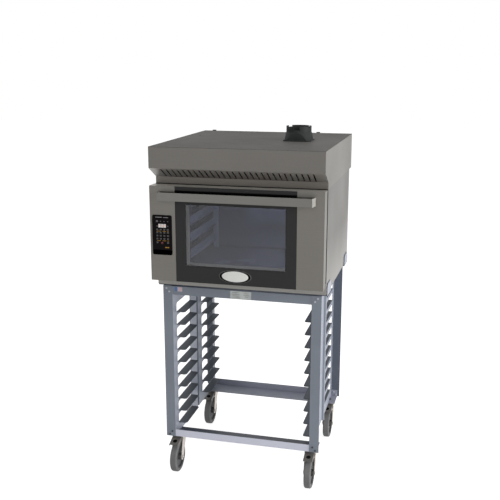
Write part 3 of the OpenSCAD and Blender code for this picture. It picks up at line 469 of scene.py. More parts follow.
@dataclass(frozen=True)
class Finish:
    """What every finish shares: a name, a colour, a gloss and zones of another colour."""

    name: str
    colour: Colour
    roughness: float = 0.5
    metallic: float = 0.0
    specular: float = 0.5
    zones: tuple[Zone, ...] = field(default=(), kw_only=True)

    def build(self) -> bpy.types.Material:
        """Makes the material with its main shader and the finish's own effects.

        Returns:
            The material.
        """
        material = bpy.data.materials.new(self.name)
        material.use_nodes = True
        material.diffuse_color = (*self.colour, 1.0)
        sheet = NodeSheet(material.node_tree)
        shader = material.node_tree.nodes["Principled BSDF"]
        sheet.feed(shader, "Base Color", self.colour)
        sheet.feed(shader, "Metallic", self.metallic)
        sheet.feed(shader, "Roughness", self.roughness)
        sheet.feed(shader, "Specular IOR Level", self.specular)
        self.fill(sheet, shader)
        return material

    def fill(self, sheet: NodeSheet, shader: Node) -> None:
        """Adds the effects of one kind of finish to its material's shader."""

    def zoned(self, sheet: NodeSheet, colour: Socket) -> Socket:
        """Adds the zones.

        Args:
            sheet: The material's node sheet.
            colour: The finish's colour.

        Returns:
            The changed colour's socket.
        """
        for zone in self.zones:
            colour = zone.paint(sheet, colour)
        return colour

    def effect(self, sheet: NodeSheet, group_name: str, **values: float | Triple) -> Node:
        """Places a shared effect in the material.

        Args:
            sheet: The material's node sheet.
            group_name: Name of the shader node group.
            **values: Input values, with underscores for spaces.

        Returns:
            The group node.
        """
        node = sheet.add("ShaderNodeGroup")
        node.node_tree = bpy.data.node_groups[group_name]
        for label, value in values.items():
            sheet.feed(node, label.replace("_", " "), value)
        return node

    def gloss(self, sheet: NodeSheet, shader: Node, value: Socket, below: float, above: float) -> None:
        """Lets the roughness vary with a value from 0 to 1.

        Args:
            sheet: The material's node sheet.
            shader: The Principled shader.
            value: The value.
            below: How far the roughness falls at 0.
            above: How far it rises at 1.
        """
        varied = sheet.ramp(value, 0.0, 1.0, self.roughness - below, self.roughness + above)
        sheet.feed(shader, "Roughness", varied)

    def bump(
        self, sheet: NodeSheet, shader: Node, height: Socket, depth: float, normal: Socket | None = None
    ) -> None:
        """Adds surface relief.

        Args:
            sheet: The material's node sheet.
            shader: The Principled shader.
            height: The relief's height.
            depth: Depth of the relief in metres.
            normal: Normal under the relief.
        """
        node = sheet.add("ShaderNodeBump")
        sheet.feed(node, "Distance", depth)
        sheet.feed(node, "Height", height)
        if normal is not None:
            sheet.feed(node, "Normal", normal)
        sheet.feed(shader, "Normal", node.outputs["Normal"])

    def shade(self, factor: float) -> Colour:
        """Returns the colour, darkened below a factor of 1 and lightened above it."""
        return tuple(min(1.0, channel * factor) for channel in self.colour)


@dataclass(frozen=True)
class BrushedSteel(Finish):
    """Satin stainless sheet, with its grain along one axis."""

    stretch: Triple = (14.0, 14.0, 900.0)
    contrast: float = 0.05
    edge_radius: float = 0.0015
    edge_wear: float = 0.5
    edge_shine: float = 1.25
    drift: float = 0.6
    drift_tint: Colour = (0.93, 0.93, 0.94)
    relief: float = 0.00002

    def fill(self, sheet: NodeSheet, shader: Node) -> None:
        """Adds brush lines, slow drifts of shade, the zone's own shade and brighter turned edges.

        Args:
            sheet: The material's node sheet.
            shader: The Principled shader.
        """
        grain = self.effect(sheet, "Sheet grain", Stretch=self.stretch)
        edges = self.effect(sheet, "Turned edges", Radius=self.edge_radius, Wear=self.edge_wear)
        dark, light = self.shade(1 - self.contrast), self.shade(1 + self.contrast)
        lines = sheet.mix(grain.outputs["Lines"], dark, light)
        amount = sheet.ramp(grain.outputs["Drift"], 0.0, 1.0, 0.0, self.drift)
        zoned = self.zoned(sheet, sheet.mix(amount, lines, self.drift_tint, "MULTIPLY"))
        colour = sheet.mix(edges.outputs["Edge"], zoned, self.shade(self.edge_shine))
        sheet.feed(shader, "Base Color", colour)
        self.gloss(sheet, shader, grain.outputs["Drift"], below=0.04, above=0.05)
        self.bump(sheet, shader, grain.outputs["Height"], self.relief, edges.outputs["Normal"])


@dataclass(frozen=True)
class Textured(Finish):
    """A finish with the fine texture; each kind names its scales, its tones, its gloss and its edges."""

    scales: ClassVar[Pair] = (260.0, 30.0)
    tone_by: ClassVar[Texture] = Texture.DUST
    tones: ClassVar[Pair] = (1.0, 1.0)
    gloss_by: ClassVar[Texture] = Texture.SPECK
    gloss_span: ClassVar[Pair | None] = None
    edge: ClassVar[Pair | None] = None
    relief: ClassVar[float] = 0.0

    def fill(self, sheet: NodeSheet, shader: Node) -> None:
        """Adds the tones, the zone's own shade, the gloss, the relief and the turned edges.

        Args:
            sheet: The material's node sheet.
            shader: The Principled shader.
        """
        grain, dust = self.scales
        fine = self.effect(sheet, "Fine texture", Grain_Scale=grain, Dust_Scale=dust)
        colour, normal = self.zoned(sheet, self.tone(sheet, fine)), None
        if self.edge:
            radius, wear = self.edge
            edges = self.effect(sheet, "Turned edges", Radius=radius, Wear=wear)
            colour, normal = self.rub(sheet, colour, edges.outputs["Edge"]), edges.outputs["Normal"]
        sheet.feed(shader, "Base Color", colour)
        if self.gloss_span:
            self.gloss(sheet, shader, fine.outputs[self.gloss_by.value], *self.gloss_span)
        if self.relief:
            self.bump(sheet, shader, fine.outputs["Height"], self.relief, normal)

    def tone(self, sheet: NodeSheet, fine: Node) -> Socket:
        """Returns the colour, lighter and darker by the fine texture."""
        low, high = self.tones
        return sheet.mix(fine.outputs[self.tone_by.value], self.shade(low), self.shade(high))

    def rub(self, _sheet: NodeSheet, colour: Socket, _edge: Socket) -> Socket:
        """Returns the colour, which some finishes change along their edges."""
        return colour


@dataclass(frozen=True)
class Polished(Textured):
    """Bright annealed sheet, slightly cloudy, without a grain."""

    scales = (90.0, 5.0)
    tones = (1.06, 0.94)
    gloss_by = Texture.DUST
    gloss_span = (0.0, 0.04)


@dataclass(frozen=True)
class PowderCoat(Textured):
    """Smooth powder coat with a faint orange peel, dust and rubbed edges."""

    scales = (420.0, 5.0)
    tones = (0.95, 1.06)
    gloss_span = (0.05, 0.05)
    edge = (0.0016, 0.35)
    relief = 0.00004
    rubbed: Colour = (0.5, 0.5, 0.52)

    def rub(self, sheet: NodeSheet, colour: Socket, edge: Socket) -> Socket:
        """Returns the colour, rubbed along the edges."""
        return sheet.mix(edge, colour, self.rubbed)


@dataclass(frozen=True)
class Moulded(Textured):
    """Moulded, painted or printed surface with a fine grain and settled dust."""

    scales = (900.0, 14.0)
    gloss_span = (0.05, 0.08)
    relief = 0.00006
    dust: Colour = (0.25, 0.25, 0.25)
    dust_amount: float = 0.18

    def tone(self, sheet: NodeSheet, fine: Node) -> Socket:
        """Returns the colour with the dust on it."""
        settled = sheet.product(fine.outputs[Texture.DUST.value], self.dust_amount)
        return sheet.mix(settled, self.colour, self.dust)


@dataclass(frozen=True)
class Smooth(Moulded):
    """Glossy panel or enamel without relief."""

    relief = 0.0


@dataclass(frozen=True)
class Plated(Textured):
    """Zinc, brass or other plated metal, a little cloudy."""

    tones = (1.12, 0.88)
    gloss_span = (0.06, 0.08)
    edge = (0.0008, 0.4)
    relief = 0.00002


@dataclass(frozen=True)
class Glass(Textured):
    """Clear or tinted pane with faint wipe marks."""

    scales = (60.0, 6.0)
    gloss_by = Texture.DUST
    gloss_span = (0.0, 0.03)
    ior: float = 1.45

    def fill(self, sheet: NodeSheet, shader: Node) -> None:
        """Adds the wipe marks and lets the light through.

        Args:
            sheet: The material's node sheet.
            shader: The Principled shader.
        """
        super().fill(sheet, shader)
        sheet.feed(shader, "Transmission Weight", 1.0)
        sheet.feed(shader, "IOR", self.ior)


@dataclass(frozen=True)
class Fibre(Textured):
    """Matted mineral wool."""

    scales = (160.0, 20.0)
    tone_by = Texture.SPECK
    tones = (0.7, 1.15)
    relief = 0.002


@dataclass(frozen=True)
class Lit(Textured):
    """A mark that glows and keeps its colour in any light: the display and its digits are lit, and on the
    printed key marks the glow is painted light.
    """

    scales = (900.0, 40.0)
    tone_by = Texture.SPECK
    tones = (0.9, 1.05)
    glow: float = 0.6

    def fill(self, sheet: NodeSheet, shader: Node) -> None:
        """Adds a fine grain of colour and the glow.

        Args:
            sheet: The material's node sheet.
            shader: The Principled shader.
        """
        super().fill(sheet, shader)
        sheet.feed(shader, "Emission Color", self.colour)
        sheet.feed(shader, "Emission Strength", self.glow)


# Name, colour, roughness, metallic and specular, then what the kind of finish adds.
FINISHES: tuple[Finish, ...] = (
    # Painted light on the hood's ends that face the sides.
    BrushedSteel("hood steel", srgb(110, 107, 102), 0.42, 0.35, zones=(Zone(srgb(113, 111, 106), (ENDS,)),)),
    BrushedSteel("cover steel", srgb(107, 105, 102), 0.6, 0.0, 0.05),
    # A lighter copy of the hood's steel, painted light on the slope; then a painted highlight on its left
    # end, painted shade that lengthens the slots at both ends, and the skirt back in a darker steel.
    BrushedSteel("slope steel", srgb(152, 148, 142), 0.42, 0.35, zones=(
        Zone(srgb(173, 170, 166), (SLOPE_PAINTED_HIGHLIGHT_END,)),
        Zone(srgb(26, 25, 24), (SlotStripes(), SLOTS_WIDE, *SLOTS_HIGH)),
        Zone(srgb(109, 105, 99), (SLOPE_SKIRT,)),
    )),
    # Painted shade close behind the handle, and painted light on the ledges that face up.
    BrushedSteel("door steel", srgb(118, 115, 109), 0.42, 0.35, zones=(
        Zone(srgb(62, 60, 56), (*BEHIND_HANDLE_HIGH, BEHIND_HANDLE_WIDE)),
        Zone(srgb(190, 187, 181), (FACES_UP,)),
    )),
    # Painted light on the handle's ends that face the sides.
    BrushedSteel(
        "handle steel", srgb(117, 116, 111), 0.42, 0.35, edge_radius=0.0005,
        zones=(Zone(srgb(190, 187, 181), (ENDS,)),),
    ),
    BrushedSteel("reveal steel", srgb(138, 136, 132), 0.45, 0.2, contrast=0.02),
    # Darker than the door's steel, painted shade against the key lamp at the right, and paler towards the
    # foot by painted light.
    BrushedSteel("side steel", srgb(103, 101, 97), 0.42, 0.35, zones=(
        Zone(srgb(144, 142, 138), (OVEN_FOOT,)),
    )),
    BrushedSteel("inner steel", srgb(150, 155, 168), 0.3, 0.6, stretch=(60.0, 500.0, 60.0), contrast=0.03),
    Polished("liner steel", srgb(140, 144, 164), 0.25, 0.3),
    Polished("rack steel", srgb(190, 195, 212), 0.4, 0.3),
    Polished("mirror steel", srgb(132, 136, 154), 0.12, 0.4),
    Plated("filter steel", srgb(24, 24, 25), 0.6, 0.2),
    # Painted shade on the rear flanges, and painted light on the webs that face the sides.
    PowderCoat("stand coat", srgb(133, 140, 151), 0.42, 0.0, 0.4, srgb(176, 180, 190), zones=(
        Zone(srgb(99, 106, 118), (STAND_REAR, FACES_FRONT)),
        Zone(srgb(162, 168, 182), (FACES_SIDE,)),
    )),
    PowderCoat("slide coat", srgb(102, 107, 114), 0.5, 0.0, 0.12, srgb(140, 144, 154)),
    # Painted light on the front rail's face, and painted shade on the top of its plate.
    PowderCoat("rail coat", srgb(168, 171, 184), 0.42, 0.0, 0.4, srgb(196, 200, 210), zones=(
        Zone(srgb(229, 231, 246), (STAND_FRONT,)),
        Zone(srgb(86, 90, 102), (STAND_FRONT, FACES_UP)),
    )),
    # Painted light on the forks' cheeks that face the sides.
    Plated("fork zinc", srgb(132, 130, 126), 0.42, 0.6, zones=(
        Zone(srgb(218, 210, 200), (FORK_CHEEKS,)),
    )),
    Plated("mount zinc", srgb(84, 82, 80), 0.5, 0.5),
    # Painted shade on the bolts below at the front.
    Moulded("bolt steel", srgb(196, 199, 206), 0.4, 0.0, 0.3, srgb(150, 152, 160), 0.3, zones=(
        Zone(srgb(70, 74, 84), LOW_FRONT),
    )),
    Moulded("tyre rubber", srgb(120, 120, 121), 0.75, 0.0, 0.3, srgb(150, 148, 145), 0.4),
    Moulded("wheel core", srgb(88, 88, 90), 0.6, 0.0, 0.3, srgb(120, 118, 115), 0.3),
    Moulded("pedal paint", srgb(106, 103, 99), 0.45, 0.1, 0.5, srgb(134, 130, 124), 0.25),
    Moulded("outlet plastic", srgb(42, 44, 44), 0.55, 0.0, 0.2, srgb(82, 84, 84), 0.2),
    Moulded("black plastic", srgb(30, 30, 31), 0.5, 0.0, 0.5, srgb(70, 70, 70), 0.2),
    Smooth("panel black", srgb(18, 13, 15), 0.2, 0.0, 0.04, srgb(30, 27, 29), 0.3),
    Smooth("panel foot", srgb(0, 0, 0), 0.3, 0.0, 0.0, srgb(3, 3, 3), 0.3),
    # The mirror image of the handle's back.
    Smooth("glass border", srgb(56, 56, 56), 0.2, 0.0, 0.08, srgb(56, 56, 57), 0.3, zones=(
        Zone(srgb(0, 0, 0), HANDLE_IN_GLASS),
    )),
    Glass("window glass", srgb(240, 242, 247), 0.0, ior=1.39),
    Glass("inner glass", srgb(156, 159, 174), 0.0, ior=1.15),
    # Black of the door's gasket, also for the sheets of painted shade at the door's gap and under the pedals'
    # holes.
    Moulded("seal", srgb(10, 10, 10), 0.8, 0.0, 0.1, srgb(20, 20, 20)),
    Moulded("foot rubber", srgb(34, 34, 36), 0.7),
    Fibre("mineral wool", srgb(214, 204, 160), 0.95),
    Moulded("motor", srgb(96, 100, 106), 0.45, 0.5, 0.5, srgb(150, 148, 144), 0.3),
    Plated("element", srgb(84, 76, 70), 0.5, 0.7),
    Moulded("board", srgb(22, 84, 54), 0.4, 0.0, 0.5, srgb(60, 110, 84), 0.2),
    Plated("brass", srgb(196, 160, 90), 0.3, 1.0),
    Moulded("badge cream", srgb(244, 244, 240), 0.35, 0.0, 0.5, srgb(232, 232, 226), 0.3),
    Moulded("badge black", srgb(4, 4, 4), 0.4, 0.0, 0.02, srgb(12, 12, 12)),
    Plated("badge rim", srgb(116, 116, 114), 0.4, 0.4),
    Plated("plate", srgb(176, 180, 178), 0.45, 0.3),
    Moulded("plate lines", srgb(112, 116, 116), 0.6),
    Moulded("sticker blue", srgb(76, 116, 172), 0.4),
    Moulded("sticker pale", srgb(214, 190, 196), 0.4),
    Lit("display", srgb(196, 198, 194), 0.3, glow=0.35),
    Lit("digit", srgb(214, 110, 110), 0.3, glow=0.4),
    # The touch keys' printed marks, whose glow is painted light.
    Lit("key grey", srgb(112, 112, 112), 0.4, glow=0.12),
    Lit("key bright", srgb(142, 142, 142), 0.4, glow=0.16),
    Lit("key yellow", srgb(140, 102, 14), 0.4, glow=0.25),
    Lit("key red", srgb(150, 76, 86), 0.4, glow=0.3),
)


def drop_box(bm: Mesh, low: Triple, high: Triple) -> list[bmesh.types.BMEdge]:
    """Adds a box.

    Args:
        bm: The mesh to add to.
        low: Lowest corner.
        high: Highest corner.

    Returns:
        The box's edges.
    """
    made = bmesh.ops.create_cube(bm, size=1.0)["verts"]
    bmesh.ops.scale(bm, vec=Vector(high) - Vector(low), verts=made)
    bmesh.ops.translate(bm, vec=(Vector(high) + Vector(low)) / 2, verts=made)
    return list(dict.fromkeys(edge for vert in made for edge in vert.link_edges))


def round_edges(bm: Mesh, edges: list[bmesh.types.BMEdge], radius: float, steps: int) -> None:
    """Rounds edges of a mesh.

    Args:
        bm: The mesh.
        edges: The edges to round.
        radius: Their radius.
        steps: Segments round each edge.
    """
    bmesh.ops.bevel(
        bm, geom=edges, offset=radius, offset_type="OFFSET", affect="EDGES", segments=steps,
        profile=0.5, material=-1, clamp_overlap=True,
    )


def drop_lathe(bm: Mesh, outline: list[Pair], centre: Triple, axis: Axis, steps: int) -> None:
    """Turns an outline a full turn about the y or z axis.

    Args:
        bm: The mesh to add to.
        outline: Radius and height of each point, along the axis.
        centre: Where radius and height are zero.
        axis: The direction of the heights.
        steps: Steps round the turn.
    """
    verts = [bm.verts.new(Vector(centre) + Axis.X.value * r + axis.value * h) for r, h in outline]
    edges = [bm.edges.new(pair) for pair in zip(verts, verts[1:])]
    bmesh.ops.spin(
        bm, geom=verts + edges, cent=centre, axis=axis.value, angle=2 * math.pi, steps=steps,
        use_merge=True, use_duplicate=False,
    )
    bmesh.ops.remove_doubles(bm, verts=bm.verts, dist=MERGE_DISTANCE)


def drop_plate(
    bm: Mesh, width: float, height: float, radius: float, thickness: float, centre: Triple, steps: int = 5
) -> None:
    """Adds an upright plate with round corners, its front face towards -y.

    Args:
        bm: The mesh to add to.
        width: Size along x.
        height: Size along z.
        radius: Radius of its corners.
        thickness: Size along y.
        centre: Middle of its back face.
        steps: Segments round each corner.
    """
    x, y, z = centre
    low = (x - width / 2, y - thickness, z - height / 2)
    edges = drop_box(bm, low, (x + width / 2, y, z + height / 2))
    along = [e for e in edges if abs((e.verts[0].co - e.verts[1].co).normalized().y) > LENGTHWISE]
    round_edges(bm, along, radius, steps)


def drop_bars(bm: Mesh, bars: list[tuple[float, ...]], place: Triple, rise: float) -> None:
    """Adds flat upright bars, their front faces towards -y.

    Args:
        bm: The mesh to add to.
        bars: Each bar's middle along x and z, then its half width and half height.
        place: What the middles count from, on the surface that the bars stand on.
        rise: Their size along y.
    """
    x, y, z = place
    for dx, dz, half_w, half_h in bars:
        drop_box(bm, (x + dx - half_w, y - rise, z + dz - half_h), (x + dx + half_w, y, z + dz + half_h))


def cut_across(bm: Mesh, axis: Axis, place: float) -> None:
    """Cuts a whole mesh across an axis and keeps both sides."""
    whole = [*bm.verts, *bm.edges, *bm.faces]
    bmesh.ops.bisect_plane(bm, geom=whole, plane_co=axis.value * place, plane_no=axis.value)


def cut_window(bm: Mesh, low: Pair, high: Pair) -> list[bmesh.types.BMFace]:
    """Cuts an upright sheet along the four sides of a window.

    Args:
        bm: The sheet's mesh.
        low: Lowest x and z of the window.
        high: Highest x and z of the window.

    Returns:
        The faces inside the window.
    """
    for axis, places in zip((Axis.X, Axis.Z), zip(low, high)):
        for place in places:
            cut_across(bm, axis, place)
    middles = [(face, face.calc_center_median()) for face in bm.faces]
    return [face for face, at in middles if low[0] < at.x < high[0] and low[1] < at.z < high[1]]


def mark_proud(bm: Mesh, surface: float) -> None:
    """Gives the second finish to the faces that stand proud of a surface, towards -y."""
    for face in bm.faces:
        face.material_index = int(face.calc_center_median().y < surface - STANDS_PROUD)


class Dresser:
    """Turns meshes into pieces, and gives CAD nodes their finishes."""

    def __init__(self, frame: dict) -> None:
        """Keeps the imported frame, and the finishes by name.
        """
        self.frame = frame
        self.finishes = {finish.name: finish for finish in FINISHES}
        self.built: dict[str, bpy.types.Material] = {}

    def material(self, name: str) -> bpy.types.Material:
        """Gives a finish's material, built when it is first asked for.

        Args:
            name: The finish's name.

        Returns:
            The material.
        """
        if name not in self.built:
            self.built[name] = self.finishes[name].build()
        return self.built[name]

    def piece(
        self, name: str, bm: Mesh, finishes: list[str], body: str, slot: str, smooth_angle: float = 0.0
    ) -> bpy.types.Object:
        """Makes a finished piece that rides on a body.

        Args:
            name: The piece's name.
            bm: Its mesh, which is merged, turned outwards and then freed.
            finishes: Names of its finishes, in order of material index.
            body: The body that it rides on.
            slot: The record's material slot; not used.
            smooth_angle: Shade smooth below this angle in degrees, or not at all at 0.

        Returns:
            The new object.
        """
        bmesh.ops.remove_doubles(bm, verts=bm.verts, dist=MERGE_DISTANCE)
        bmesh.ops.recalc_face_normals(bm, faces=bm.faces)
        mesh = bpy.data.meshes.new(name)
        if smooth_angle:
            for face in bm.faces:
                face.smooth = True
            for edge in bm.edges:
                edge.smooth = edge.calc_face_angle(math.pi) < math.radians(smooth_angle)
        bm.to_mesh(mesh)
        bm.free()
        for finish in finishes:
            mesh.materials.append(self.material(finish))
        made = bpy.data.objects.new(name, mesh)
        bpy.context.scene.collection.objects.link(made)
        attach(made, body)
        LOG.info("piece %s: %d faces on %s", name, len(mesh.polygons), body)
        return made

    def dress(self, finish: str, *nodes: str) -> None:
        """Gives CAD nodes a finish.

        Args:
            finish: Name of the finish.
            *nodes: Names of the CAD nodes.
        """
        for name in nodes:
            slots = self.frame["nodes"][name].data.materials
            slots.clear()
            slots.append(self.material(finish))
            LOG.info("node %s: %s", name, finish)


@dataclass
class Hood:
    """The ventless hood on top of the oven."""

    dresser: Dresser
    cover_thickness: float = 1.5 * MM
    plug_place: Pair = (-0.338, 0.161)
    plug_outline: tuple[Pair, ...] = ((0.0, 1.6), (3.2, 1.4), (5.0, 0.6), (5.6, 0.0))
    plug_steps: int = 24

    def build(self) -> None:
        """Dresses the hood's nodes and adds the plugged hole of its top."""
        dress = self.dresser.dress
        dress("hood steel", "hood_shell")
        dress("cover steel", "hood_cover")
        dress("slope steel", "hood_grille")
        dress("filter steel", "hood_filter")
        dress("inner steel", "hood_fan")
        dress("motor", "hood_motor")
        dress("outlet plastic", "vent_collar")
        self.add_top_hole()

    def add_top_hole(self) -> None:
        """Adds the small plugged hole near the left rear of the top."""
        place = (*self.plug_place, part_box("hood_shell")[1].z + self.cover_thickness)
        bm = bmesh.new()
        drop_lathe(bm, [(r * MM, h * MM) for r, h in self.plug_outline], place, Axis.Z, self.plug_steps)
        self.dresser.piece(
            "hood_top_plug", bm, ["black plastic"], Body.FIXED, "black_plastic", SMOOTH_ANGLE
        )


@dataclass
class Oven:
    """The oven's fixed body, with the screws of its back and what shows through its window."""

    dresser: Dresser
    shade_seal_inset: float = 0.3 * MM
    shade_seal_thickness: float = 2 * MM
    shade_seal_rise: float = 12 * MM
    screw_outline: tuple[Pair, ...] = ((0.0, 1.2), (1.8, 1.2), (2.07, 2.2), (3.6, 1.7), (4.5, 0.0))
    screw_steps: int = 16
    foot_screws: tuple[float, ...] = (-0.385, -0.13, 0.13, 0.385)
    foot_screw_rise: float = 12 * MM
    side_screws: tuple[float, ...] = (-0.388, 0.388)
    side_screw_rises: tuple[float, ...] = (0.16, 0.32)

    def build(self) -> None:
        """Dresses the oven body's nodes and adds the black sheet of painted shade round its front and the
        screws of its back.
        """
        dress = self.dresser.dress
        dress("side steel", "casing_left", "casing_right", "casing_top", "casing_back", "front_frame")
        dress("inner steel", "base_pan", "steam_duct", "hinge_arms")
        dress("liner steel", "cavity_liner")
        dress("rack steel", "tray_racks")
        dress("mirror steel", "fan_baffle")
        dress("inner steel", "fan_left", "fan_right")
        dress("mineral wool", "insulation")
        dress("seal", "door_gasket")
        dress("motor", "fan_motors")
        dress("element", "heating_elements")
        dress("board", "power_board")
        dress("brass", "water_inlet")
        dress("black plastic", "cable_gland")
        dress("foot rubber", "oven_feet")
        self.add_gap_shade_seal()
        self.add_back_screws()

    def add_gap_shade_seal(self) -> None:
        """Adds a flat black sheet round the edge of the front frame: painted shade for the gap at the door.
        """
        low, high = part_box("front_frame")
        inner_low, inner_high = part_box("door_gasket")
        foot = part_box("door_skin")[0].z + self.shade_seal_rise
        width, height = high.x - low.x - 2 * self.shade_seal_inset, high.z - foot - self.shade_seal_inset
        bm = bmesh.new()
        upright = Matrix.Rotation(math.pi / 2, 4, "X")
        bmesh.ops.create_grid(bm, x_segments=1, y_segments=1, size=0.5, matrix=upright)
        bmesh.ops.scale(bm, vec=(width, 1.0, height), verts=bm.verts)
        middle = Vector(((low.x + high.x) / 2, low.y, foot + height / 2))
        bmesh.ops.translate(bm, vec=middle, verts=bm.verts)
        hole_low = (inner_low.x - self.shade_seal_inset, inner_low.z - self.shade_seal_inset)
        hole_high = (inner_high.x + self.shade_seal_inset, inner_high.z + self.shade_seal_inset)
        bmesh.ops.delete(bm, geom=cut_window(bm, hole_low, hole_high), context="FACES")
        bmesh.ops.recalc_face_normals(bm, faces=bm.faces)
        bmesh.ops.solidify(bm, geom=list(bm.faces), thickness=self.shade_seal_thickness)
        ahead = low.y - self.shade_seal_thickness - min(v.co.y for v in bm.verts)
        bmesh.ops.translate(bm, vec=(0.0, ahead, 0.0), verts=bm.verts)
        self.dresser.piece("front_gap_shade_seal", bm, ["seal"], Body.FIXED, "seal")

    def add_back_screws(self) -> None:
        """Adds the screws along the oven's back panel."""
        low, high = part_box("casing_back")
        places = [(x, self.foot_screw_rise) for x in self.foot_screws]
        places += [(x, rise) for x in self.side_screws for rise in self.side_screw_rises]
        outline = [(r * MM, h * MM) for r, h in self.screw_outline]
        bm = bmesh.new()
        for x, rise in places:
            drop_lathe(bm, outline, (x, high.y, low.z + rise), Axis.Y, self.screw_steps)
        self.dresser.piece("back_screws", bm, ["bolt steel"], Body.FIXED, "stainless", SMOOTH_ANGLE)


@dataclass(frozen=True)
class Bar:
    """A printed bar on the control panel: its middle in metres, its sizes in millimetres."""

    x: float
    z: float
    width: float
    height: float
    radius: float
    rise: float = 0.3
    steps: int = 2

    def drop(self, bm: Mesh, front: float) -> None:
        """Adds the bar.

        Args:
            bm: The mesh to add to.
            front: The surface it stands on.
        """
        sizes = (self.width * MM, self.height * MM, self.radius * MM, self.rise * MM)
        drop_plate(bm, *sizes, (self.x, front, self.z), self.steps)


@dataclass
class Door:
    """The drop-down door with its glass, handle and control panel."""

    dresser: Dresser
    window_half: float = 229 * MM
    window_drop: float = 80 * MM
    window_height: float = 280 * MM
    pane_edge: float = 0.8 * MM
    badge_z: float = 1.0565
    badge_half: Pair = (75 * MM, 30.5 * MM)
    badge_rings: tuple[Pair, ...] = (
        (1.0, 0.0), (1.0, 1.2), (0.985, 1.7), (0.97, 1.7), (0.96, 1.2), (0.82, 1.2), (0.81, 1.7),
        (0.79, 2.0), (0.5, 2.5), (0.0, 2.7),
    )
    badge_rim: float = 0.965
    badge_black: float = 0.815
    badge_steps: int = 64
    badge_smooth: float = 35
    display_low: Pair = (-0.3600, 1.2655)
    display_high: Pair = (-0.3225, 1.2815)
    display_gap: float = 1.2 * MM
    display_radius: float = 1.2 * MM
    display_rise: float = 0.5 * MM
    digits: tuple[str, ...] = ("1110110", "1111111", "1111110")
    digit_half: Pair = (2.2 * MM, 4.0 * MM)
    digit_rise: float = 0.3 * MM
    segment: float = 0.4 * MM
    key_columns: tuple[float, ...] = (-0.3655, -0.349, -0.3315, -0.3145)
    key_rows: tuple[float, ...] = (1.2555, 1.2420, 1.2270, 1.2130)
    key_size: float = 7.5 * MM
    end_keys: tuple[Pair, ...] = ((1.1955, 1.0), (1.2715, 0.7))
    top_row: float = 1.2935
    top_share: float = 0.6
    key_line: float = 0.12
    key_squat: float = 0.8
    key_rise: float = 0.3 * MM
    bright_bars: tuple[Bar, ...] = (Bar(-0.3580, 1.3125, 30, 2.2, 0.8), Bar(-0.3240, 1.3120, 24, 2.0, 0.8))
    yellow_bars: tuple[Bar, ...] = (
        Bar(-0.3580, 1.2480, 18, 2.0, 0.9), Bar(-0.3315, 1.2480, 18, 2.0, 0.9),
        Bar(-0.3135, 1.2480, 8, 2.0, 0.9), Bar(-0.3580, 1.2040, 18, 2.0, 0.9),
        Bar(-0.3315, 1.2040, 18, 2.0, 0.9), Bar(-0.3135, 1.2040, 8, 2.0, 0.9),
        Bar(-0.3230, 1.1735, 12, 5.0, 1.5, 0.35, 3), Bar(-0.3130, 1.1735, 7, 5.0, 1.5, 0.35, 3),
    )
    red_ring: tuple[float, float, float] = (-0.3425, 1.1935, 4.6 * MM)
    red_stroke: tuple[Pair, Pair] = ((-0.3431, 1.1940), (-0.3419, 1.1987))
    red_rise: float = 0.4 * MM
    ring_share: float = 0.76
    ring_steps: int = 28
    foot_height: float = 23 * MM
    foot_radius: float = 7 * MM
    foot_inset: float = 0.5 * MM
    foot_rise: float = 0.3 * MM

    def build(self) -> None:
        """Dresses the door's nodes and adds its glass and marks."""
        dress = self.dresser.dress
        dress("door steel", "door_skin")
        dress("handle steel", "door_handle")
        dress("reveal steel", "door_inner_frame")
        dress("inner steel", "door_hinge_plates")
        dress("inner glass", "door_inner_glass")
        dress("panel black", "control_panel")
        self.add_glass()
        self.add_badge()
        self.add_display()
        self.add_panel_foot()
        self.add_keys()
        self.add_marks()

    def mark(self, name: str, bm: Mesh, finishes: list[str], smooth_angle: float = 0.0) -> None:
        """Makes a piece of the badge or of the control panel.

        Args:
            name: The piece's name.
            bm: Its mesh.
            finishes: Names of its finishes.
            smooth_angle: Shade smooth below this angle in degrees.
        """
        self.dresser.piece(name, bm, finishes, Body.DOOR, "panel_gloss", smooth_angle)

    def add_glass(self) -> None:
        """Adds the outer pane, clear in the middle and black round it."""
        low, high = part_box("door_outer_glass")
        top = high.z - self.window_drop
        foot = top - self.window_height
        bm = bmesh.new()
        round_edges(bm, drop_box(bm, tuple(low), tuple(high)), self.pane_edge, steps=2)
        for face in cut_window(bm, (-self.window_half, foot), (self.window_half, top)):
            face.material_index = 1
        pane = self.dresser.piece(
            "door_window_pane", bm, ["glass border", "window glass"], Body.DOOR, "dark_glass"
        )
        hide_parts("door_outer_glass")

    def add_badge(self) -> None:
        """Adds the plain oval plate at the foot of the glass."""
        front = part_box("door_outer_glass")[0].y
        half_w, half_h = self.badge_half
        outline = [(ring, -height * MM) for ring, height in self.badge_rings]
        bm = bmesh.new()
        drop_lathe(bm, outline, (0.0, 0.0, 0.0), Axis.Y, self.badge_steps)
        for face in bm.faces:
            out = math.hypot(*face.calc_center_median().xz)
            face.material_index = 0 if out > self.badge_rim else 1 if out > self.badge_black else 2
        bmesh.ops.scale(bm, vec=(half_w, 1.0, half_h), verts=bm.verts)
        bmesh.ops.translate(bm, vec=(0.0, front, self.badge_z), verts=bm.verts)
        self.mark("door_badge", bm, ["badge rim", "badge black", "badge cream"], self.badge_smooth)

    def add_display(self) -> None:
        """Adds the display window with three lit digits."""
        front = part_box("control_panel")[0].y
        x0, z0 = self.display_low
        x1, z1 = self.display_high
        step = (x1 - x0) / len(self.digits)
        middle = (z0 + z1) / 2
        bm = bmesh.new()
        for i, lit in enumerate(self.digits):
            x = x0 + (i + 0.5) * step
            sizes = (step - self.display_gap, z1 - z0, self.display_radius, self.display_rise)
            drop_plate(bm, *sizes, (x, front, middle), steps=3)
            self.add_digit(bm, x, middle, front - self.display_rise, lit)
        mark_proud(bm, front - self.display_rise)
        self.mark("panel_display", bm, ["display", "digit"])

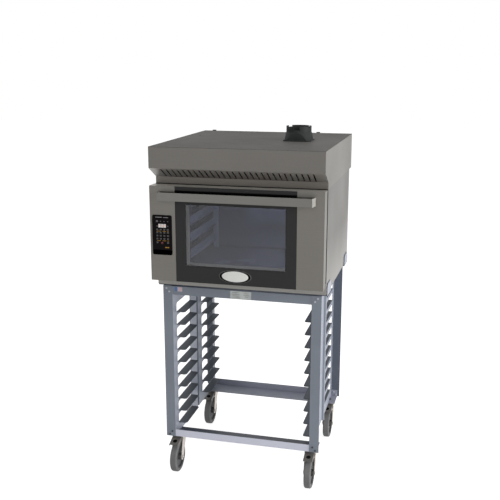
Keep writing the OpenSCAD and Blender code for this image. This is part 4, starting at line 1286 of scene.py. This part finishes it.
    def add_digit(self, bm: Mesh, x: float, z: float, front: float, lit: str) -> None:
        """Adds one seven-bar digit.

        Args:
            bm: The mesh to add to.
            x: Middle of the digit.
            z: Middle of the digit.
            front: The surface it stands on.
            lit: 1 for each bar that is lit: top, two upper, middle, two lower, bottom.
        """
        (w, h), t = self.digit_half, self.segment
        bars = [
            (0, h, w, t), (-w, h / 2, t, h / 2), (w, h / 2, t, h / 2), (0, 0, w, t),
            (-w, -h / 2, t, h / 2), (w, -h / 2, t, h / 2), (0, -h, w, t),
        ]
        shown = [bar for on, bar in zip(lit, bars) if on == "1"]
        drop_bars(bm, shown, (x, front, z), self.digit_rise)

    def add_panel_foot(self) -> None:
        """Adds the blacker strip across the foot of the panel."""
        low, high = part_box("control_panel")
        width = high.x - low.x - 2 * self.foot_inset
        centre = ((low.x + high.x) / 2, low.y, low.z + self.foot_height / 2 + self.foot_inset)
        bm = bmesh.new()
        drop_plate(bm, width, self.foot_height, self.foot_radius, self.foot_rise, centre)
        self.mark("panel_foot", bm, ["panel foot"])

    def add_keys(self) -> None:
        """Adds the rows of touch keys and the marks between them."""
        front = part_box("control_panel")[0].y
        first, *others = self.key_columns
        keys = [(x, z, 1.0) for z in self.key_rows for x in self.key_columns]
        keys += [(x, z, share) for x in (first, others[-1]) for z, share in self.end_keys]
        keys += [(x, self.top_row, self.top_share) for x in others]
        grey = bmesh.new()
        for x, z, share in keys:
            self.add_key(grey, x, z, front, self.key_size * share)
        self.mark("panel_keys", grey, ["key grey"])
        bright = bmesh.new()
        self.add_key(bright, first, self.top_row, front, self.key_size)
        for bar in self.bright_bars:
            bar.drop(bright, front)
        self.mark("panel_bright_marks", bright, ["key bright"])

    def add_marks(self) -> None:
        """Adds the yellow bars and the red ring with its stroke."""
        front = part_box("control_panel")[0].y
        yellow = bmesh.new()
        for bar in self.yellow_bars:
            bar.drop(yellow, front)
        self.mark("panel_yellow_marks", yellow, ["key yellow"])
        red = bmesh.new()
        x, z, outer = self.red_ring
        inner, rise = outer * self.ring_share, -self.key_rise
        outline = [(outer, 0.0), (outer, rise), (inner, rise), (inner, 0.0), (outer, 0.0)]
        drop_lathe(red, outline, (x, front, z), Axis.Y, self.ring_steps)
        (x0, z0), (x1, z1) = self.red_stroke
        drop_box(red, (x0, front - self.red_rise, z0), (x1, front, z1))
        self.mark("panel_red_mark", red, ["key red"], SMOOTH_ANGLE)

    def add_key(self, bm: Mesh, x: float, z: float, front: float, size: float) -> None:
        """Adds one touch key's mark: a small frame round a bar.

        Args:
            bm: The mesh to add to.
            x: Middle of the key.
            z: Middle of the key.
            front: The surface it stands on.
            size: Width of the mark.
        """
        half, line = size / 2, size * self.key_line
        tall = half * self.key_squat
        boxes = [(side * half, 0.0, line / 2, tall) for side in (-1, 1)]
        boxes += [(0.0, side * tall, half, line / 2) for side in (-1, 1)]
        boxes += [(0.0, 0.0, half / 2, line)]
        drop_bars(bm, boxes, (x, front, z), self.key_rise)


@dataclass
class Stand:
    """The open stand with its two pan-slide frames."""

    dresser: Dresser
    plate_size: Pair = (100 * MM, 37 * MM)
    plate_radius: float = 1.5 * MM
    plate_rise: float = 0.8 * MM
    line_height: float = 1.6 * MM
    line_radius: float = 0.5 * MM
    line_rise: float = 0.3 * MM
    plate_lines: tuple[Triple, ...] = (
        (-24, 11, 34), (-24, 3, 40), (-24, -5, 30), (28, 9, 22), (28, 1, 26), (28, -7, 18), (-24, -12, 40),
    )
    sticker_size: Pair = (38 * MM, 21 * MM)
    sticker_radius: float = 1.0 * MM
    sticker_rise: float = 0.3 * MM
    sticker_x: float = -0.3045
    sticker_lift: float = 7 * MM
    sticker_split: float = 0.12

    def build(self) -> None:
        """Dresses the stand's nodes and adds its plate and its sticker."""
        dress = self.dresser.dress
        dress("stand coat", "side_frame_left", "side_frame_right", "top_rails", "oven_retainers")
        dress("slide coat", "pan_slides_left", "pan_slides_right")
        dress("rail coat", "bottom_rails")
        dress("bolt steel", "stand_bolts")
        self.add_plate()
        self.add_sticker()

    def add_plate(self) -> None:
        """Adds the plain metal plate with its lines on the top front rail."""
        low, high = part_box("top_rails")
        middle = (low.z + high.z) / 2
        face_y = low.y - self.plate_rise
        bm = bmesh.new()
        drop_plate(bm, *self.plate_size, self.plate_radius, self.plate_rise, (0.0, low.y, middle))
        for x, z, width in self.plate_lines:
            sizes = (width * MM, self.line_height, self.line_radius, self.line_rise)
            drop_plate(bm, *sizes, (x * MM, face_y, middle + z * MM), steps=2)
        mark_proud(bm, face_y)
        self.dresser.piece("rail_plate", bm, ["plate", "plate lines"], Body.FIXED, "zinc")

    def add_sticker(self) -> None:
        """Adds the small two-coloured sticker at the left of the top front rail."""
        low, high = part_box("top_rails")
        width, height = self.sticker_size
        centre = (self.sticker_x, low.y, (low.z + high.z) / 2 + self.sticker_lift)
        split = self.sticker_x - width * self.sticker_split
        bm = bmesh.new()
        drop_plate(bm, width, height, self.sticker_radius, self.sticker_rise, centre, steps=3)
        cut_across(bm, Axis.X, split)
        for face in bm.faces:
            face.material_index = int(face.calc_center_median().x >= split)
        finishes = ["sticker blue", "sticker pale"]
        self.dresser.piece("rail_sticker", bm, finishes, Body.FIXED, "black_plastic")


@dataclass
class Casters:
    """The four swivel casters with brakes."""

    dresser: Dresser
    hole_inset: float = 25 * MM
    pedal_length: float = 60 * MM
    pedal_fall: float = 21 * MM
    shade_disc_radius: float = 13 * MM
    shade_disc_drop: float = 2.5 * MM
    shade_disc_thickness: float = 0.6 * MM
    shade_disc_steps: int = 32

    def build(self) -> None:
        """Dresses the casters' nodes and adds a black disc of painted shade under each pedal's hole."""
        dress = self.dresser.dress
        dress("mount zinc", "caster_mounts")
        for corner in Corner:
            dress("fork zinc", f"caster_fork_{corner.value}")
            dress("wheel core", f"caster_hub_{corner.value}")
            dress("tyre rubber", f"caster_tyre_{corner.value}")
            dress("pedal paint", f"brake_pedal_{corner.value}")
            self.add_hole_shade_disc(corner)

    def add_hole_shade_disc(self, corner: Corner) -> None:
        """Adds the black disc of painted shade under a pedal's hole.

        Args:
            corner: The caster that the pedal belongs to.
        """
        low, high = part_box(f"brake_pedal_{corner.value}")
        drop = self.pedal_fall * (1 - self.hole_inset / self.pedal_length) + self.shade_disc_drop
        place = Vector(((low.x + high.x) / 2, low.y + self.hole_inset, high.z - drop))
        tilt = math.atan2(self.pedal_fall, self.pedal_length)
        bm = bmesh.new()
        bmesh.ops.create_cone(
            bm, cap_ends=True, segments=self.shade_disc_steps, radius1=self.shade_disc_radius, radius2=self.shade_disc_radius,
            depth=self.shade_disc_thickness, matrix=Matrix.Translation(place) @ Matrix.Rotation(tilt, 4, "X"),
        )
        name, body = f"pedal_hole_shade_disc_{corner.value}", f"pedal_{corner.value}"
        self.dresser.piece(name, bm, ["seal"], body, "black_plastic", SMOOTH_ANGLE)


@dataclass(frozen=True)
class Lamp:
    """A soft square lamp: where it stands, what it points at, its side in metres and its power in watts."""

    name: str
    place: Triple
    target: Triple
    size: float
    power: float
    mirrored: bool = True

    def add(self) -> None:
        """Adds the lamp to the scene."""
        data = bpy.data.lights.new(self.name, "AREA")
        data.size = self.size
        data.energy = self.power
        lamp = bpy.data.objects.new(self.name, data)
        lamp.location = self.place
        towards = Vector(self.target) - Vector(self.place)
        lamp.rotation_euler = towards.to_track_quat("-Z", "Y").to_euler()
        lamp.visible_glossy = self.mirrored
        bpy.context.scene.collection.objects.link(lamp)


@dataclass
class Studio:
    """The pale floor, the soft lights and the camera."""

    camera_place: Triple = (0.9343, -3.7926, 2.0165)
    camera_azimuth: float = 14.33
    camera_pitch: float = 13.39
    lens: float = 58.31
    sensor: float = 36.0
    floor_size: float = 40.0
    floor_drop: float = 0.5 * MM
    floor_grey: float = 0.85
    floor_roughness: float = 0.9
    ambient: float = 0.27
    glow: float = 0.82
    lamps: tuple[Lamp, ...] = (
        Lamp("key", (5.0, -1.4, 2.0), (0.0, 0.0, 0.9), 3.0, 185.0),
        Lamp("front", (-1.5, -5.5, 3.2), (0.0, 0.0, 0.9), 3.5, 45.0),
        Lamp("top", (0.0, 0.5, 5.5), (0.0, 0.0, 1.0), 3.0, 40.0),
        Lamp("cavity", (0.0, -0.27, 1.395), (0.0, 0.05, 1.1), 0.3, 1.0, mirrored=False),
    )

    def build(self) -> None:
        """Sets the view transform and builds the studio."""
        bpy.context.scene.view_settings.view_transform = "Standard"
        self.add_camera()
        self.add_floor()
        self.add_world()
        for lamp in self.lamps:
            lamp.add()

    def add_camera(self) -> None:
        """Places the camera where the photograph was taken from."""
        data = bpy.data.cameras.new("camera")
        data.lens = self.lens
        data.sensor_width = self.sensor
        camera = bpy.data.objects.new("camera", data)
        camera.location = self.camera_place
        camera.rotation_euler = (math.radians(90 - self.camera_pitch), 0.0, math.radians(self.camera_azimuth))
        bpy.context.scene.collection.objects.link(camera)
        bpy.context.scene.camera = camera

    def add_floor(self) -> None:
        """Adds the pale floor, which keeps the object's shadow."""
        bm = bmesh.new()
        bmesh.ops.create_grid(bm, x_segments=1, y_segments=1, size=self.floor_size / 2)
        bmesh.ops.translate(bm, vec=(0.0, 0.0, -self.floor_drop), verts=bm.verts)
        mesh = bpy.data.meshes.new("studio_floor")
        bm.to_mesh(mesh)
        bm.free()
        floor = bpy.data.objects.new("studio_floor", mesh)
        bpy.context.scene.collection.objects.link(floor)
        material = bpy.data.materials.new("floor white")
        material.use_nodes = True
        sheet = NodeSheet(material.node_tree)
        shader = material.node_tree.nodes["Principled BSDF"]
        sheet.feed(shader, "Base Color", (self.floor_grey,) * 3)
        sheet.feed(shader, "Roughness", self.floor_roughness)
        sheet.feed(shader, "Specular IOR Level", 0.0)
        sheet.feed(shader, "Emission Color", WHITE)
        glow = sheet.product(self.seen_directly(sheet), self.glow)
        sheet.feed(shader, "Emission Strength", glow)
        mesh.materials.append(material)

    def seen_directly(self, sheet: NodeSheet) -> Socket:
        """A value of 1 on rays from the camera, off gloss and through glass.

        Args:
            sheet: The node sheet to add to.

        Returns:
            The value's socket.
        """
        path = sheet.add("ShaderNodeLightPath")
        gloss = sheet.math("MAXIMUM", path.outputs["Is Camera Ray"], path.outputs["Is Glossy Ray"])
        return sheet.math("MAXIMUM", gloss, path.outputs["Is Transmission Ray"])

    def add_world(self) -> None:
        """Adds a white surround that lights the object softly."""
        world = bpy.data.worlds.new("studio")
        bpy.context.scene.world = world
        world.use_nodes = True
        sheet = NodeSheet(world.node_tree)
        back = world.node_tree.nodes["Background"]
        sheet.feed(back, "Color", WHITE)
        strength = sheet.math("MAXIMUM", self.seen_directly(sheet), self.ambient)
        sheet.feed(back, "Strength", strength)


def main() -> None:
    """Builds the studio and dresses every sub-assembly."""
    logging.basicConfig(level=logging.INFO, format="%(message)s")
    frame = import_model()
    Studio().build()
    build_grain_group()
    build_edge_group()
    build_speck_group()
    dresser = Dresser(frame)
    for part in (Stand, Casters, Oven, Door, Hood):
        part(dresser).build()
        LOG.info("dressed %s", part.__name__)


if __name__ == "__main__":
    main()
